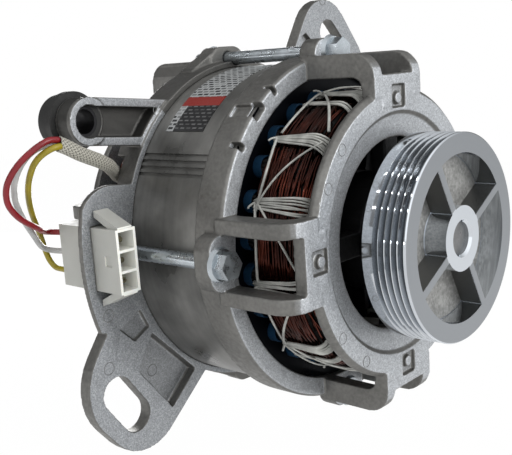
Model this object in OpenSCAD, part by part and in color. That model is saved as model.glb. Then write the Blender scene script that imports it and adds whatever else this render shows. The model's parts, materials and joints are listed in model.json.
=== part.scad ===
// Washing machine motor: an open induction motor with a ribbed belt pulley. Two cast end
// bells are bolted round a bare laminated stator. The rear bell carries a rubber-bushed
// pivot tube, two slotted lugs and a three-way connector fed by three leads.
//
// Everything is drawn with the rotor axis along +Y, which starts at the front face of the
// pulley, with +X to the right and +Z up as seen from the pulley. place() then moves the
// whole motor, so that the origin lies on the pivot bore at the rear end of its sleeve.

/* [Pulley] */
// Outer radius over the ribs
pulley_r = 35; // [31:0.5:38]
// Width of the rim
pulley_w = 16.2; // [15:0.1:18]
// Number of grooves
rib_count = 5; // [2:1:5]
// Distance from groove to groove
rib_pitch = 2.34; // [2.34:0.01:2.6]
// Depth of a groove
rib_depth = 2; // [1.2:0.1:2.4]
// Thickness of the rim, measured inwards from the ribs' tips
rim_t = 6.7; // [5:0.1:8]
// Radius of the hub
pulley_hub_r = 11; // [9:0.5:13]
// Length of the hub, from the front face
pulley_hub_l = 17; // [15:0.5:18]
// Thickness of a spoke
pulley_spoke_t = 2.6; // [2:0.1:5]
// Depth of the pockets between the spokes
pulley_pocket = 8; // [5:0.5:9]
// Thickness of the web behind the pockets
pulley_web = 2.5; // [2:0.1:3.5]
// Turn of the spokes from +X
pulley_turn = 34; // [0:1:89]

/* [Shaft and bearings] */
// Radius of the shaft at its bearings
shaft_r = 7.5; // [7:0.1:8]
// Radius of the nose that carries the pulley
nose_r = 5.5; // [4.5:0.1:6.5]
// How far the nose ends behind the pulley's face
nose_recess = 2.2; // [0.5:0.1:5]
// Radius of the shaft between its bearings
barrel_r = 9.5; // [9:0.1:11]
// Outer radius of a bearing
bearing_r = 17.5; // [17:0.1:19]
// Width of a bearing
bearing_w = 11; // [10:0.5:12]
// Radius of a ball
ball_r = 2.9; // [2.4:0.05:2.95]
// Play between a ball and its races
ball_play = 0.12; // [0.05:0.01:0.2]
// Number of balls in a bearing
ball_count = 8; // [6:1:8]
// Distance of the front bearing from the front plane of the front bell
front_bearing_set = 5; // [4:0.5:6]
// Gap between the stator's rear face and the rear bearing
rear_bearing_gap = 12.5; // [12:0.5:14]

/* [Rotor] */
// Gap between rotor and stator
air_gap = 0.4; // [0.3:0.05:0.8]
// Number of cage bars
bar_count = 28; // [20:1:30]
// Radius of a cage bar
bar_r = 2.2; // [1.5:0.1:2.5]
// Height of an end ring along the axis
end_ring_l = 6.5; // [4:0.5:7]
// Height of a fan blade along the axis
blade_l = 5.5; // [3:0.5:6]
// Number of fan blades at each end
blade_count = 9; // [5:1:12]

/* [Stator] */
// Outer radius of the stack
stator_r = 60; // [59:0.5:62]
// Radius of the bore
bore_r = 33; // [32:0.5:34]
// Length of the stack
stator_l = 52; // [48:1:60]
// Distance of the stack from the pulley's front face
stator_y = 53; // [52:0.5:56]
// Number of slots
slot_count = 24; // [18:1:24]
// Thickness of a tooth between two slots
tooth_t = 4.4; // [4:0.1:5.5]
// Radius at which the round bottoms of the slots have their centres
slot_end_r = 46.8; // [45:0.1:47.5]
// Thickness of a slot liner
liner_t = 0.4; // [0.3:0.05:0.6]
// How far a liner stands out of the stack
liner_out = 3.2; // [1.5:0.1:5]
// Number of lengthwise grooves on the outside
groove_count = 4; // [1:1:4]
// Angle of the first groove
groove_angle = 153.4; // [150:0.1:156]
// Angle from groove to groove
groove_step = 2.3; // [1.8:0.1:2.5]
// Width of a groove
groove_w = 1.2; // [0.6:0.1:1.4]
// Depth of a groove
groove_d = 0.8; // [0.4:0.1:1.5]

/* [End windings] */
// Outer radius of the bundle, over its wire
coil_r = 49.6; // [48:0.1:50.5]
// Inner radius of the bundle
coil_in_r = 37.8; // [37:0.1:40]
// Length of the bundle along the axis
coil_l = 13; // [12:0.5:14]
// Distance between the front bundle and the stack
coil_gap = 10; // [8:0.5:10.5]
// Distance between the rear bundle and the stack
rear_coil_gap = 6; // [5:0.5:6]
// Diameter of the wire that is wound round the bundle
wire_d = 0.85; // [0.5:0.05:0.88]
// Distance from turn to turn
wire_pitch = 1.3; // [1.3:0.05:1.4]
// Number of lacing ties round a bundle
tie_count = 12; // [6:1:16]
// Width of a lacing tie
tie_w = 2.4; // [1:0.1:4]
// Thickness of a lacing tie
tie_t = 0.5; // [0.3:0.05:0.7]

/* [Front bell] */
// Plane of the bell's front
front_y = 22.5; // [21:0.5:24]
// Outer radius of the front ring
ring_r = 50.3; // [49:0.1:52]
// Radius of the opening in the front ring
opening_r = 33.4; // [31:0.1:36]
// Thickness of the front ring
ring_t = 4.2; // [4:0.1:5.2]
// Width of the chamfer round the ring's outside
ring_chamfer = 1.6; // [0.6:0.1:2]
// Outer radius of the clamp band round the stator
band_r = 62.5; // [62:0.1:64]
// Length of the clamp band along the stator
band_grip = 9; // [7:0.5:14]
// Thickness of the band's wall in front of the stator
band_wall = 2.8; // [2:0.1:4]
// Inner radius of that wall
band_in_r = 55.4; // [54:0.1:57]
// Angle of the first pair of arms
arm_turn = 6; // [0:1:15]
// Distance of an arm's inner side from its pair's middle plane
arm_in = 9.1; // [8:0.1:10]
// Thickness of an arm
arm_t = 5.1; // [4:0.1:6.5]
// Distance of an arm's outer edge from the axis
arm_r = 62.2; // [61:0.1:63]
// Depth of an arm, measured inwards
arm_d = 8; // [6:0.1:8.5]
// Radius of an arm's outer corner
arm_corner = 8.5; // [4:0.5:11]
// Distance from the axis to the outer edge of a pad between two arms
pad_r = 54.7; // [53:0.1:57]
// Distance from the axis to the middle of a pad's square pocket
pad_pocket_at = 47.2; // [46:0.1:48]
// Side of that pocket
pad_pocket = 7.6; // [5:0.1:9]
// Depth of that pocket
pad_pocket_d = 1.6; // [0.4:0.1:2]
// Radius of the nub in it
nub_r = 2; // [1:0.1:2.2]
// Outer radius of the bearing hub
hub_r = 21; // [20.5:0.1:23]
// Width of a spoke between hub and front ring
bell_spoke_w = 8; // [5:0.5:12]

/* [Through bolts] */
// Distance of a bolt from the axis
bolt_circle = 63.5; // [63.3:0.1:65]
// Radius of a bolt
bolt_r = 2.5; // [2:0.1:2.8]
// Clearance of a bolt in its hole
bolt_clear = 0.25; // [0.1:0.05:0.5]
// Width across the flats of head and nut
flats = 8; // [7:0.5:10]
// Radius of the flange of a head
head_flange_r = 5.8; // [5.2:0.1:6.5]
// Radius of the flange of a nut
nut_flange_r = 5.2; // [4.9:0.1:5.3]
// Height of a head with its flange
head_h = 5.4; // [4:0.1:7]
// Height of a nut with its flange
nut_h = 4.6; // [4:0.1:6]
// Thread that stands out of a nut
thread_out = 4; // [2:0.5:6]
// Distance from the axis to the tip of a bolt ear
ear_r = 68.2; // [67.5:0.1:70]

/* [Rear bell] */
// Front plane of the mounting flange
flange_y = 95.7; // [94:0.1:97]
// Thickness of the mounting flange
flange_t = 5.5; // [4.5:0.1:6.5]
// Outer radius of the rim round the stator
rim_r = 62.4; // [62.2:0.1:63]
// Reach of the foot that runs out from an ear to the rim, on each side
ear_foot = 20; // [16:0.5:22]
// Plane of the bell's rear
rear_y = 130; // [129.5:0.5:133]
// Distance of a rear arm's outer edge from the axis
rear_arm_r = 63.2; // [62:0.1:66]
// Radius of a rear arm's outer corner
rear_arm_corner = 8; // [4:0.5:14]
// Outer radius of the rear ring
rear_ring_r = 53; // [51:0.5:55]
// Outer radius of the flange on the left
flange_r_left = 82; // [81:0.5:86]
// Thickness of the flange round the connector
plate_t = 2.2; // [1.8:0.1:5.5]
// Width of the slot in the lower lug
lower_slot_w = 12.5; // [11:0.1:13]
// Distance between the centres of its round ends
lower_slot_run = 12.6; // [11:0.1:13]
// Width of the slot in the upper lug
upper_slot_w = 11; // [9:0.1:12]
// Distance between the centres of its round ends
upper_slot_run = 10.9; // [6:0.1:12]
// Depth of the lugs' pockets
lug_pocket = 3.8; // [2:0.1:4.2]

/* [Pivot] */
// Distance of the pivot to the left of the axis
pivot_x = 77.5; // [76:0.5:80]
// Height of the pivot over the axis
pivot_z = 38.2; // [37:0.1:39.5]
// Outer radius of the pivot tube
tube_r = 8.15; // [8:0.05:9]
// Length of the pivot tube behind the flange plane
tube_l = 8.3; // [7:0.1:12]
// Radius of the tube's narrow mouth
mouth_r = 5.5; // [5:0.1:6]
// How far the walls beside the trough lie behind the tube's face
trough_set = 0.7; // [0.3:0.1:1.5]
// Thickness of the trough's floor
trough_floor = 2; // [1.5:0.1:3]
// Distance from the rotor axis to the trough's inner end
trough_in_r = 63.8; // [63.4:0.1:65]
// Length of the narrow mouth
mouth_l = 3; // [2:0.1:4]
// Radius of the bush's spigot
spigot_r = 7; // [6.6:0.05:7.3]
// Radius of the bush's collar
collar_r = 10.2; // [9.5:0.1:12]
// Length of the collar
collar_l = 3; // [2:0.1:5]
// Radius of the bush behind its collar
bush_r = 9.3; // [8.5:0.1:9.5]
// Length of the bush behind its collar
bush_l = 4.8; // [3:0.1:8]
// Radius of the steel sleeve
sleeve_r = 5.2; // [5:0.05:5.5]
// Radius of the bore for the pivot bolt
pivot_bore_r = 4.2; // [3.2:0.05:4.4]
// How far the sleeve stands out of the bush at the rear
sleeve_out = 0.7; // [0.2:0.1:2]

/* [Connector] */
// Distance of its middle from the tips of the bolt ears
connector_gap = 5; // [4.8:0.1:5.4]
// Thickness, measured from the axis outwards
connector_t = 8.3; // [8:0.1:8.6]
// Width along the flange
connector_w = 21.9; // [21.5:0.1:22.5]
// Plane of its mating face
connector_y = 83; // [81:0.5:85]
// Length from the mating face to the wire end
connector_l = 31; // [29:0.5:32]
// Distance from pin to pin
pin_pitch = 7; // [6.9:0.1:7.1]
// Width of a cavity along the flange
cavity_w = 6.1; // [5:0.1:6.3]
// Height of a cavity
cavity_t = 6.3; // [5:0.1:6.8]
// Side of the square mark on its outer face
connector_mark = 3.6; // [2:0.1:5]
// Depth of a cavity
cavity_d = 14; // [10:0.5:16]
// How far the pins start behind the mating face
pin_set = 3.2; // [2:0.1:8]
// Clearance between the connector and its window
window_clear = 0.3; // [0.2:0.05:0.5]
// How far its rear collar stands out
lip = 0.9; // [0.7:0.1:1.2]
// How far that collar stands out towards the axis
lip_in = 0.5; // [0.4:0.05:0.5]

/* [Leads] */
// Diameter of the woven sleeve
sleeve_d = 5; // [4.8:0.1:5.2]
// Diameter of a lead
lead_d = 2.1; // [1.6:0.1:2.2]

/* [Label] */
// Length of the label along the motor
label_l = 18.4; // [10:0.1:19.5]
// Distance of the label from the mounting flange's plane
label_set = 5.7; // [4.5:0.1:6.5]
// First angle of the label
label_from = 98; // [95:1:130]
// Last angle of the label
label_to = 144.5; // [135:0.5:148]
// Thickness of the label
label_t = 0.2; // [0.1:0.05:0.3]

/* [Hidden] */
$fn = 96;

fit = 0.02;
shake = 0.05;
eps = 0.01;
// How far arms, pads and ears stand proud of the rings and walls that they meet
step = 0.3;

stator_end = stator_y + stator_l;
band_front = stator_y - band_wall;
band_end = stator_y + band_grip;
rotor_r = bore_r - air_gap;
slot_pitch = 360 / slot_count;
slot_half = slot_end_r * sin(slot_pitch / 2) - tooth_t / 2;
slot_bottom = slot_end_r + slot_half;
mouth_half = 1.3;
wedge_r = bore_r + 2.1;
wedge_t = 1;

front_bearing_y = front_y + front_bearing_set;
rear_bearing_y = stator_end + rear_bearing_gap;
rear_seat_end = rear_bearing_y + bearing_w + 1.6;
hub_end = front_bearing_y + bearing_w + 1;
race_r = (shaft_r + bearing_r) / 2;
inner_race_r = race_r - 2.1;
outer_race_r = race_r + 2.1;
nose_end = pulley_hub_l;

arm_angles = [for (i = [0:3]) arm_turn + 90 * i];
arm_out = arm_in + arm_t;
ear_front = band_front - step;
front_ring_y = front_y + step;
rear_ring_y = rear_y - step;
connector_angle = arm_turn + 180;
connector_r = max(ear_r, rear_arm_r) + connector_gap;
// Where the connector stood when the leads' routes below were drawn
drawn_r = 73.2;
rear_wall_end = stator_end + 3;
tube_end = flange_y + tube_l;
collar_end = tube_end + collar_l;
bush_end = collar_end + bush_l;
sleeve_front = flange_y + mouth_l + 0.2;
sleeve_end = bush_end + sleeve_out;
flange_back = flange_y + flange_t;
nut_seat = rear_wall_end - 0.5;
connector_end = connector_y + connector_l;
crimp_end = connector_end - 4;

// Routes of the woven sleeve and the leads, point by point along their middle
sleeve_route = [
    [-47.1, 113.6, 16.7], [-50.2, 113.5, 17.9], [-52.6, 112.8, 18.8], [-54.6, 111.2, 19.5],
    [-56.6, 109.2, 20.3], [-58.8, 107.4, 21], [-61.4, 105.2, 21.7], [-63.8, 102.8, 22.4],
    [-66.4, 100.6, 23.2], [-69.4, 98.9, 24.1], [-73, 97.7, 25.2], [-77, 96.9, 26.3],
    [-81, 96.3, 27.5], [-84.2, 95.9, 28.7], [-87, 95.9, 29.9], [-90, 96, 31]
];
red_route = [
    [-90, 96, 32.3], [-93.5, 95.8, 32.2], [-96.5, 96.2, 30.9], [-99, 97.5, 28.8],
    [-101, 99.2, 26.4], [-102.5, 101, 23.8], [-103.5, 102.8, 21], [-104, 104.4, 18],
    [-103.6, 105.8, 15], [-102.4, 107, 12], [-100.2, 108.2, 9.4], [-97, 109.4, 6.8],
    [-93.2, 110.4, 4.6], [-89.4, 111.8, 2.9], [-86, 114, 1.6], [-83.2, 116.5, 0.6],
    [-80.4, 118.6, -0.1], [-77.6, 119.5, -0.5], [-75, 118.5, -0.7], [-73.6, 116, -0.7],
    [-73.5, 110, -0.7]
];
white_route = [
    [-90, 97.2, 30.3], [-93.2, 98.4, 30.4], [-95.6, 100.2, 29.3], [-97.2, 102.2, 27.4],
    [-98.4, 104, 24.9], [-99, 105.8, 22], [-99.2, 107.4, 18.8], [-98.6, 109, 15.6],
    [-97.2, 110.6, 12.2], [-95, 112.2, 8.8], [-92.2, 113.8, 5.2], [-88.8, 115.6, 1.6],
    [-85.4, 117.6, -1.6], [-82.4, 119.8, -4.2], [-79.6, 121.7, -6], [-76.6, 122.3, -7.2],
    [-74.1, 120.9, -7.7], [-72.9, 118, -7.7], [-72.8, 110, -7.7]
];
yellow_route = [
    [-90, 94.8, 30.3], [-92.6, 94.8, 29.8], [-94.6, 96, 28.6], [-95.8, 98.2, 26.8],
    [-96.2, 100.8, 24.4], [-95.8, 103.4, 21.6], [-94.8, 106.2, 18.6], [-93.4, 108.8, 15.4],
    [-91.5, 111.5, 12.4], [-89, 114.4, 9], [-86.2, 117.2, 5.6], [-83, 120, 2],
    [-79.8, 122.8, -1.6], [-77, 125.2, -5.2], [-74.8, 126.8, -8.8], [-73.2, 126.8, -12],
    [-72.3, 124.8, -14.2], [-72.1, 121.6, -14.6], [-72.1, 110, -14.6]
];

// A lead's route, drawn out with the connector: its last points move all the way
function drawn_out(route) = let (last = len(route) - 4) [
    for (i = [0:len(route) - 1]) route[i] + min(1, i / last) * (connector_r - drawn_r)
        * [cos(connector_angle), 0, sin(connector_angle)]
];

// Moves the motor so that the pivot bore is at the origin
module place() {
    translate([pivot_x, -sleeve_end, -pivot_z]) children();
}

// Turns what is drawn towards +X to an angle seen from the pulley
module turned(angle) {
    rotate([0, -angle, 0]) children();
}

// A plate from y0 to y1 whose outline is drawn as X and Z
module slab(y0, y1) {
    translate([0, y1, 0]) rotate([90, 0, 0]) linear_extrude(height = y1 - y0) children();
}

// A body of revolution about the rotor axis whose outline is drawn as radius and Y
module spun() {
    rotate([-90, 0, 0]) rotate_extrude() children();
}

// A straight cylinder along Y
module rod(r, y0, y1) {
    translate([0, y0, 0]) rotate([-90, 0, 0]) cylinder(r = r, h = y1 - y0);
}

// A cone along Y
module cone(r0, r1, y0, y1) {
    translate([0, y0, 0]) rotate([-90, 0, 0]) cylinder(r1 = r0, r2 = r1, h = y1 - y0);
}

// A plate that lies in a pair's middle plane, drawn as radius and Y
module fin(z0, z1) {
    translate([0, 0, z0]) linear_extrude(height = z1 - z0) children();
}

function unit(v) = v / norm(v);

// The points of an arc about the axis
function arc(r, a0, a1, steps) = [
    for (i = [0:steps]) let (a = a0 + (a1 - a0) * i / steps) [r * cos(a), r * sin(a)]
];

// One corner of an outline, rounded with the radius in its third value
function corner(a, p, b, steps = 7) =
    let (
        u = unit([a[0] - p[0], a[1] - p[1]]),
        v = unit([b[0] - p[0], b[1] - p[1]]),
        half = acos(u * v) / 2,
        centre = [p[0], p[1]] + unit(u + v) * p[2] / sin(half),
        start = [p[0], p[1]] + u * p[2] / tan(half) - centre,
        side = sign(u[0] * v[1] - u[1] * v[0]),
        sweep = -side * (180 - 2 * half)
    )
    [for (i = [0:steps]) let (t = sweep * i / steps)
        centre + [start[0] * cos(t) - start[1] * sin(t), start[0] * sin(t) + start[1] * cos(t)]];

// An outline of corners [x, z, radius]
function rounded(pts) = [
    for (i = [0:len(pts) - 1])
        let (p = pts[i], a = pts[(i + len(pts) - 1) % len(pts)], b = pts[(i + 1) % len(pts)])
        each (p[2] > 0 ? corner(a, p, b) : [[p[0], p[1]]])
];

// A sector of the plane between two angles
module sector(a0, a1, r = 120) {
    polygon(concat([[0, 0]], arc(r, a0, a1, 8)));
}

function tangent(p, i) =
    i == 0 ? unit(p[1] - p[0])
    : i == len(p) - 1 ? unit(p[i] - p[i - 1])
    : unit(unit(p[i + 1] - p[i]) + unit(p[i] - p[i - 1]));

// Vectors square to the path, carried along it without twist
function carried(p, i, last) =
    i == len(p) ? []
    : let (t = tangent(p, i), n = unit(last - (last * t) * t))
      concat([n], carried(p, i + 1, n));

// One unbroken tube along a path
module tube(p, normals, r, sides) {
    rings = len(p);
    points = [
        for (i = [0:rings - 1])
            let (t = tangent(p, i), n = normals[i], b = cross(t, n))
            for (k = [0:sides - 1])
                p[i] + r * (cos(360 * k / sides) * n + sin(360 * k / sides) * b)
    ];
    walls = [
        for (i = [0:rings - 2]) for (k = [0:sides - 1])
            let (a = i * sides + k, b = i * sides + (k + 1) % sides)
            each [[a, a + sides, b], [b, a + sides, b + sides]]
    ];
    start_cap = [for (k = [1:sides - 2]) [0, k, k + 1]];
    last = (rings - 1) * sides;
    end_cap = [for (k = [1:sides - 2]) [last, last + k + 1, last + k]];
    polyhedron(points = points, faces = concat(start_cap, walls, end_cap), convexity = 10);
}

module cord(route, d, sides) {
    tube(route, carried(route, 0, [0, 0.3, 1]), d / 2, sides);
}

// Pulley

module pulley() {
    ribs = rib_count * rib_pitch;
    land = 0.6;
    half_tip = 0.17;
    rim_in = pulley_r - rim_t;
    outline = concat(
        [[nose_r, 0.85], [nose_r + 0.85, 0], [pulley_r - 0.4, 0], [pulley_r, 0.4], [pulley_r, land]],
        [for (i = [0:rib_count - 1])
            let (y = land + i * rib_pitch)
            each [[pulley_r, y + half_tip], [pulley_r - rib_depth, y + rib_pitch / 2 - 0.15],
                [pulley_r - rib_depth, y + rib_pitch / 2 + 0.15], [pulley_r, y + rib_pitch - half_tip]]],
        [[pulley_r, land + ribs], [pulley_r, pulley_w - 0.4], [pulley_r - 0.4, pulley_w],
            [rim_in + 1.5, pulley_w], [rim_in, pulley_pocket + pulley_web],
            [pulley_hub_r + 2, pulley_pocket + pulley_web], [pulley_hub_r, pulley_hub_l],
            [nose_r, pulley_hub_l]]
    );
    color("silver") difference() {
        spun() polygon(outline);
        for (i = [0:3]) slab(-1, pulley_pocket) difference() {
            sector(pulley_turn + 90 * i, pulley_turn + 90 * i + 90);
            circle(r = pulley_hub_r);
            difference() {
                circle(r = 200);
                circle(r = rim_in);
            }
            for (a = [0, 90]) rotate(pulley_turn + 90 * i + a)
                translate([0, -pulley_spoke_t / 2]) square([60, pulley_spoke_t]);
        }
    }
}

// Rotor

module shaft() {
    color("lightsteelblue") union() {
        rod(nose_r - fit, nose_recess, nose_end);
        rod(shaft_r - fit, nose_end, front_bearing_y + bearing_w);
        rod(barrel_r, front_bearing_y + bearing_w, rear_bearing_y);
        rod(shaft_r - fit, rear_bearing_y, rear_bearing_y + bearing_w);
    }
}

module bar_circle(r) {
    for (i = [0:bar_count - 1]) rotate(360 * i / bar_count)
        translate([rotor_r - bar_r - 0.9, 0]) circle(r = r, $fn = 24);
}

module rotor_core() {
    color("dimgray") slab(stator_y, stator_end) difference() {
        circle(r = rotor_r);
        circle(r = barrel_r + fit);
        bar_circle(bar_r);
    }
}

module rotor_cage() {
    in_r = barrel_r + 11;
    color("gainsboro") union() {
        slab(stator_y - eps, stator_end + eps) bar_circle(bar_r - shake);
        for (end = [0, 1]) {
            ring_y = end == 0 ? stator_y - end_ring_l : stator_end;
            slab(ring_y, ring_y + end_ring_l) difference() {
                circle(r = rotor_r - 0.4);
                circle(r = in_r);
            }
            blade_y = end == 0 ? ring_y - blade_l : ring_y + end_ring_l - eps;
            slab(blade_y, blade_y + blade_l + eps) for (i = [0:blade_count - 1])
                rotate(360 * i / blade_count) translate([in_r + 1, -1]) square([rotor_r - in_r - 3, 2]);
        }
    }
}

// Ball bearings

module race_groove(y) {
    spun() translate([race_r, y + bearing_w / 2]) circle(r = ball_r + ball_play, $fn = 48);
}

module bearing_outer(y) {
    color("silver") difference() {
        rod(bearing_r - fit, y, y + bearing_w);
        rod(outer_race_r, y - 1, y + bearing_w + 1);
        race_groove(y);
    }
}

module bearing_inner(y) {
    color("silver") difference() {
        rod(inner_race_r, y, y + bearing_w);
        rod(shaft_r, y - 1, y + bearing_w + 1);
        race_groove(y);
    }
}

module bearing_balls(y) {
    color("white") for (i = [0:ball_count - 1]) turned(360 * i / ball_count)
        translate([race_r, y + bearing_w / 2, 0]) sphere(r = ball_r);
}

module bearing_cage(y) {
    half = 3.5;
    color("goldenrod") difference() {
        spun() translate([race_r - 0.9, y + bearing_w / 2 - half]) square([1.8, 2 * half]);
        for (i = [0:ball_count - 1]) turned(360 * i / ball_count)
            translate([race_r - 3, y + bearing_w / 2, 0]) rotate([0, 90, 0])
                cylinder(r = ball_r + 0.08, h = 6);
    }
}

module bearing_shields(y) {
    color("gray") for (y0 = [y + 0.5, y + bearing_w - 1]) spun()
        translate([inner_race_r + 0.3, y0]) square([outer_race_r - inner_race_r - 0.3 - fit, 0.5]);
}

module wave_washer() {
    y = rear_bearing_y + bearing_w;
    color("gray") difference() {
        rod(bearing_r - 0.6, y + 0.02, y + 1.58);
        rod(outer_race_r + 0.2, y - 1, y + 3);
    }
}

// Stator

module slot_outline(inset) {
    half_in = wedge_r * sin(slot_pitch / 2) - tooth_t / 2 - inset;
    polygon([
        [wedge_r, -half_in], [slot_end_r, -slot_half + inset],
        [slot_end_r, slot_half - inset], [wedge_r, half_in]
    ]);
    translate([slot_end_r, 0]) circle(r = slot_half - inset, $fn = 40);
}

module each_slot() {
    for (i = [0:slot_count - 1]) rotate(slot_pitch * i) children();
}

module stator_core() {
    color("gray") difference() {
        slab(stator_y, stator_end) difference() {
            circle(r = stator_r);
            circle(r = bore_r);
            each_slot() {
                slot_outline(0);
                translate([bore_r - 1, -mouth_half]) square([wedge_r - bore_r + 2, 2 * mouth_half]);
            }
        }
        for (i = [0:groove_count - 1]) turned(groove_angle + groove_step * i)
            translate([stator_r - groove_d, band_end + 1, -groove_w / 2])
                cube([groove_d + 1, stator_l, groove_w]);
    }
}

module slot_liners() {
    color("royalblue") slab(stator_y - liner_out, stator_end + liner_out) each_slot() difference() {
        slot_outline(shake);
        slot_outline(shake + liner_t);
        translate([wedge_r - 1, -10]) square([1 + wedge_t + 0.6, 20]);
    }
}

module slot_wedges() {
    half = wedge_r * sin(slot_pitch / 2) - tooth_t / 2 - 0.1;
    color("ivory") slab(stator_y - 1, stator_end + 1) each_slot()
        translate([wedge_r + 0.1, -half]) square([wedge_t, 2 * half]);
}

module slot_conductors() {
    color("saddlebrown") slab(stator_y - coil_gap, stator_end + rear_coil_gap) each_slot() difference() {
        slot_outline(liner_t + 0.35);
        translate([wedge_r - 1, -10]) square([coil_in_r - wedge_r + 1.6, 20]);
        translate([coil_r - 1.8, -10]) square([10, 20]);
    }
}

// End windings: a bundle, and one unbroken wire wound over its outside and its end

coil_corner = 3.5;
core_r = (coil_r - wire_d / 2) * cos(7.5) - wire_d / 2 - 0.03;
core_end = wire_d + 0.05;

module coil_bundle() {
    color("sienna") spun() polygon(rounded([
        [coil_in_r, core_end, 1], [core_r, core_end, coil_corner - wire_d / 2],
        [core_r, coil_l, 0], [coil_in_r, coil_l, 0]
    ]));
}

// Radius and Y of the wire at a length along the bundle's outline
wire_r = coil_r - wire_d / 2;
wire_y = wire_d / 2;
outer_run = coil_l - 0.6 - wire_y - coil_corner;
corner_run = coil_corner * PI / 2;
face_run = wire_r - coil_corner - coil_in_r - 0.9;
front_turns = floor((outer_run + corner_run + face_run) / wire_pitch);
rear_turns = front_turns - 3;
function wire_at(s) =
    s < outer_run ? [wire_r, wire_y + coil_corner + outer_run - s]
    : s < outer_run + corner_run
        ? let (a = (s - outer_run) / coil_corner * 180 / PI)
          [wire_r - coil_corner + coil_corner * cos(a), wire_y + coil_corner - coil_corner * sin(a)]
    : [wire_r - coil_corner - (s - outer_run - corner_run), wire_y];
function wire_point(t) =
    let (c = wire_at(t * wire_pitch), a = 360 * t)
    [c[0] * cos(a), c[1], c[0] * sin(a)];
function wire_path(turns) =
    let (
        body = [for (i = [0:24 * turns]) wire_point(i / 24)],
        first = unit(body[0] - body[1]),
        last = unit(body[24 * turns] - body[24 * turns - 1])
    )
    concat([body[0] + wire_d * first], body, [body[24 * turns] + wire_d * last]);
function wire_normals(path) = [
    for (i = [0:len(path) - 1])
        let (t = tangent(path, i), out = unit([path[i][0], 0, path[i][2]]))
        unit(out - (out * t) * t)
];
// Least gap between the wire and itself, from a point on one turn to all of the next
function wire_gap(path, turns) =
    min([for (i = [0:2:24 * (turns - 1)]) for (k = [20:28])
        i + k < len(path) ? norm(path[i] - path[i + k]) - wire_d : 99]);

module winding(turns) {
    path = wire_path(turns);
    echo(str("least gap of the wire to itself, mm: ", wire_gap(path, turns)));
    color("chocolate") tube(path, wire_normals(path), wire_d / 2, 6);
}

module lacing() {
    out_r = coil_r + 0.15;
    in_r = coil_in_r - 0.15;
    front = -0.15;
    color("white") for (i = [0:tie_count - 1]) turned(arm_turn + 15 + 360 * i / tie_count)
        fin(-tie_w / 2, tie_w / 2) difference() {
            polygon(rounded([
                [in_r - tie_t, front - tie_t, 1.3], [out_r + tie_t, front - tie_t, coil_corner + 0.4],
                [out_r + tie_t, coil_l + 0.3 + tie_t, 1], [in_r - tie_t, coil_l + 0.3 + tie_t, 1]
            ]));
            polygon(rounded([
                [in_r, front, 0.8], [out_r, front, coil_corner],
                [out_r, coil_l + 0.3, 0.5], [in_r, coil_l + 0.3, 0.5]
            ]));
        }
}

// The front bundle starts at its front face, and the rear bundle is its mirror image
module front_end() {
    translate([0, stator_y - coil_gap - coil_l, 0]) children();
}
module rear_end() {
    translate([0, stator_end + rear_coil_gap + coil_l, 0]) mirror([0, 1, 0]) children();
}

// End bells

// One pair of arms from a wall at y0 to the plane of a ring, and the ear between them
module arm_pair(out_r, corner_r, wall_y, ring_y, ring_r_in, thick) {
    way = sign(wall_y - ring_y);
    inner = out_r - arm_d;
    ring_in = min(ring_r_in, inner - 5);
    for (side = [-1, 1]) fin(side < 0 ? -arm_out : arm_in, side < 0 ? -arm_in : arm_out)
        polygon(rounded([
            [out_r, wall_y, 0], [out_r, ring_y, corner_r], [ring_in, ring_y, 0],
            [ring_in, ring_y + way * thick, 0], [inner, ring_y + way * thick, 4],
            [inner, wall_y, 0]
        ]));
}

module ear_outline() {
    difference() {
        polygon(rounded([
            [stator_r - 3, -arm_in - 0.4, 0], [ear_r, -arm_in - 0.4, 6],
            [ear_r, arm_in + 0.4, 6], [stator_r - 3, arm_in + 0.4, 0]
        ]));
        translate([bolt_circle, 0]) circle(r = bolt_r + bolt_clear, $fn = 48);
    }
}

// The foot that blends a rear ear into the rim
module ear_foot_outline() {
    difference() {
        polygon([
            [stator_r - 2, -ear_foot + 2], [rim_r - 2.6, -ear_foot], [ear_r - 2, -arm_in + 1],
            [ear_r - 2, arm_in - 1], [rim_r - 2.6, ear_foot], [stator_r - 2, ear_foot - 2]
        ]);
        circle(r = stator_r);
        translate([bolt_circle, 0]) circle(r = bolt_r + bolt_clear, $fn = 48);
    }
}

module bolt_holes(y0, y1) {
    for (a = arm_angles) turned(a) translate([bolt_circle, 0, 0])
        rod(bolt_r + bolt_clear, y0, y1);
}

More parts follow.
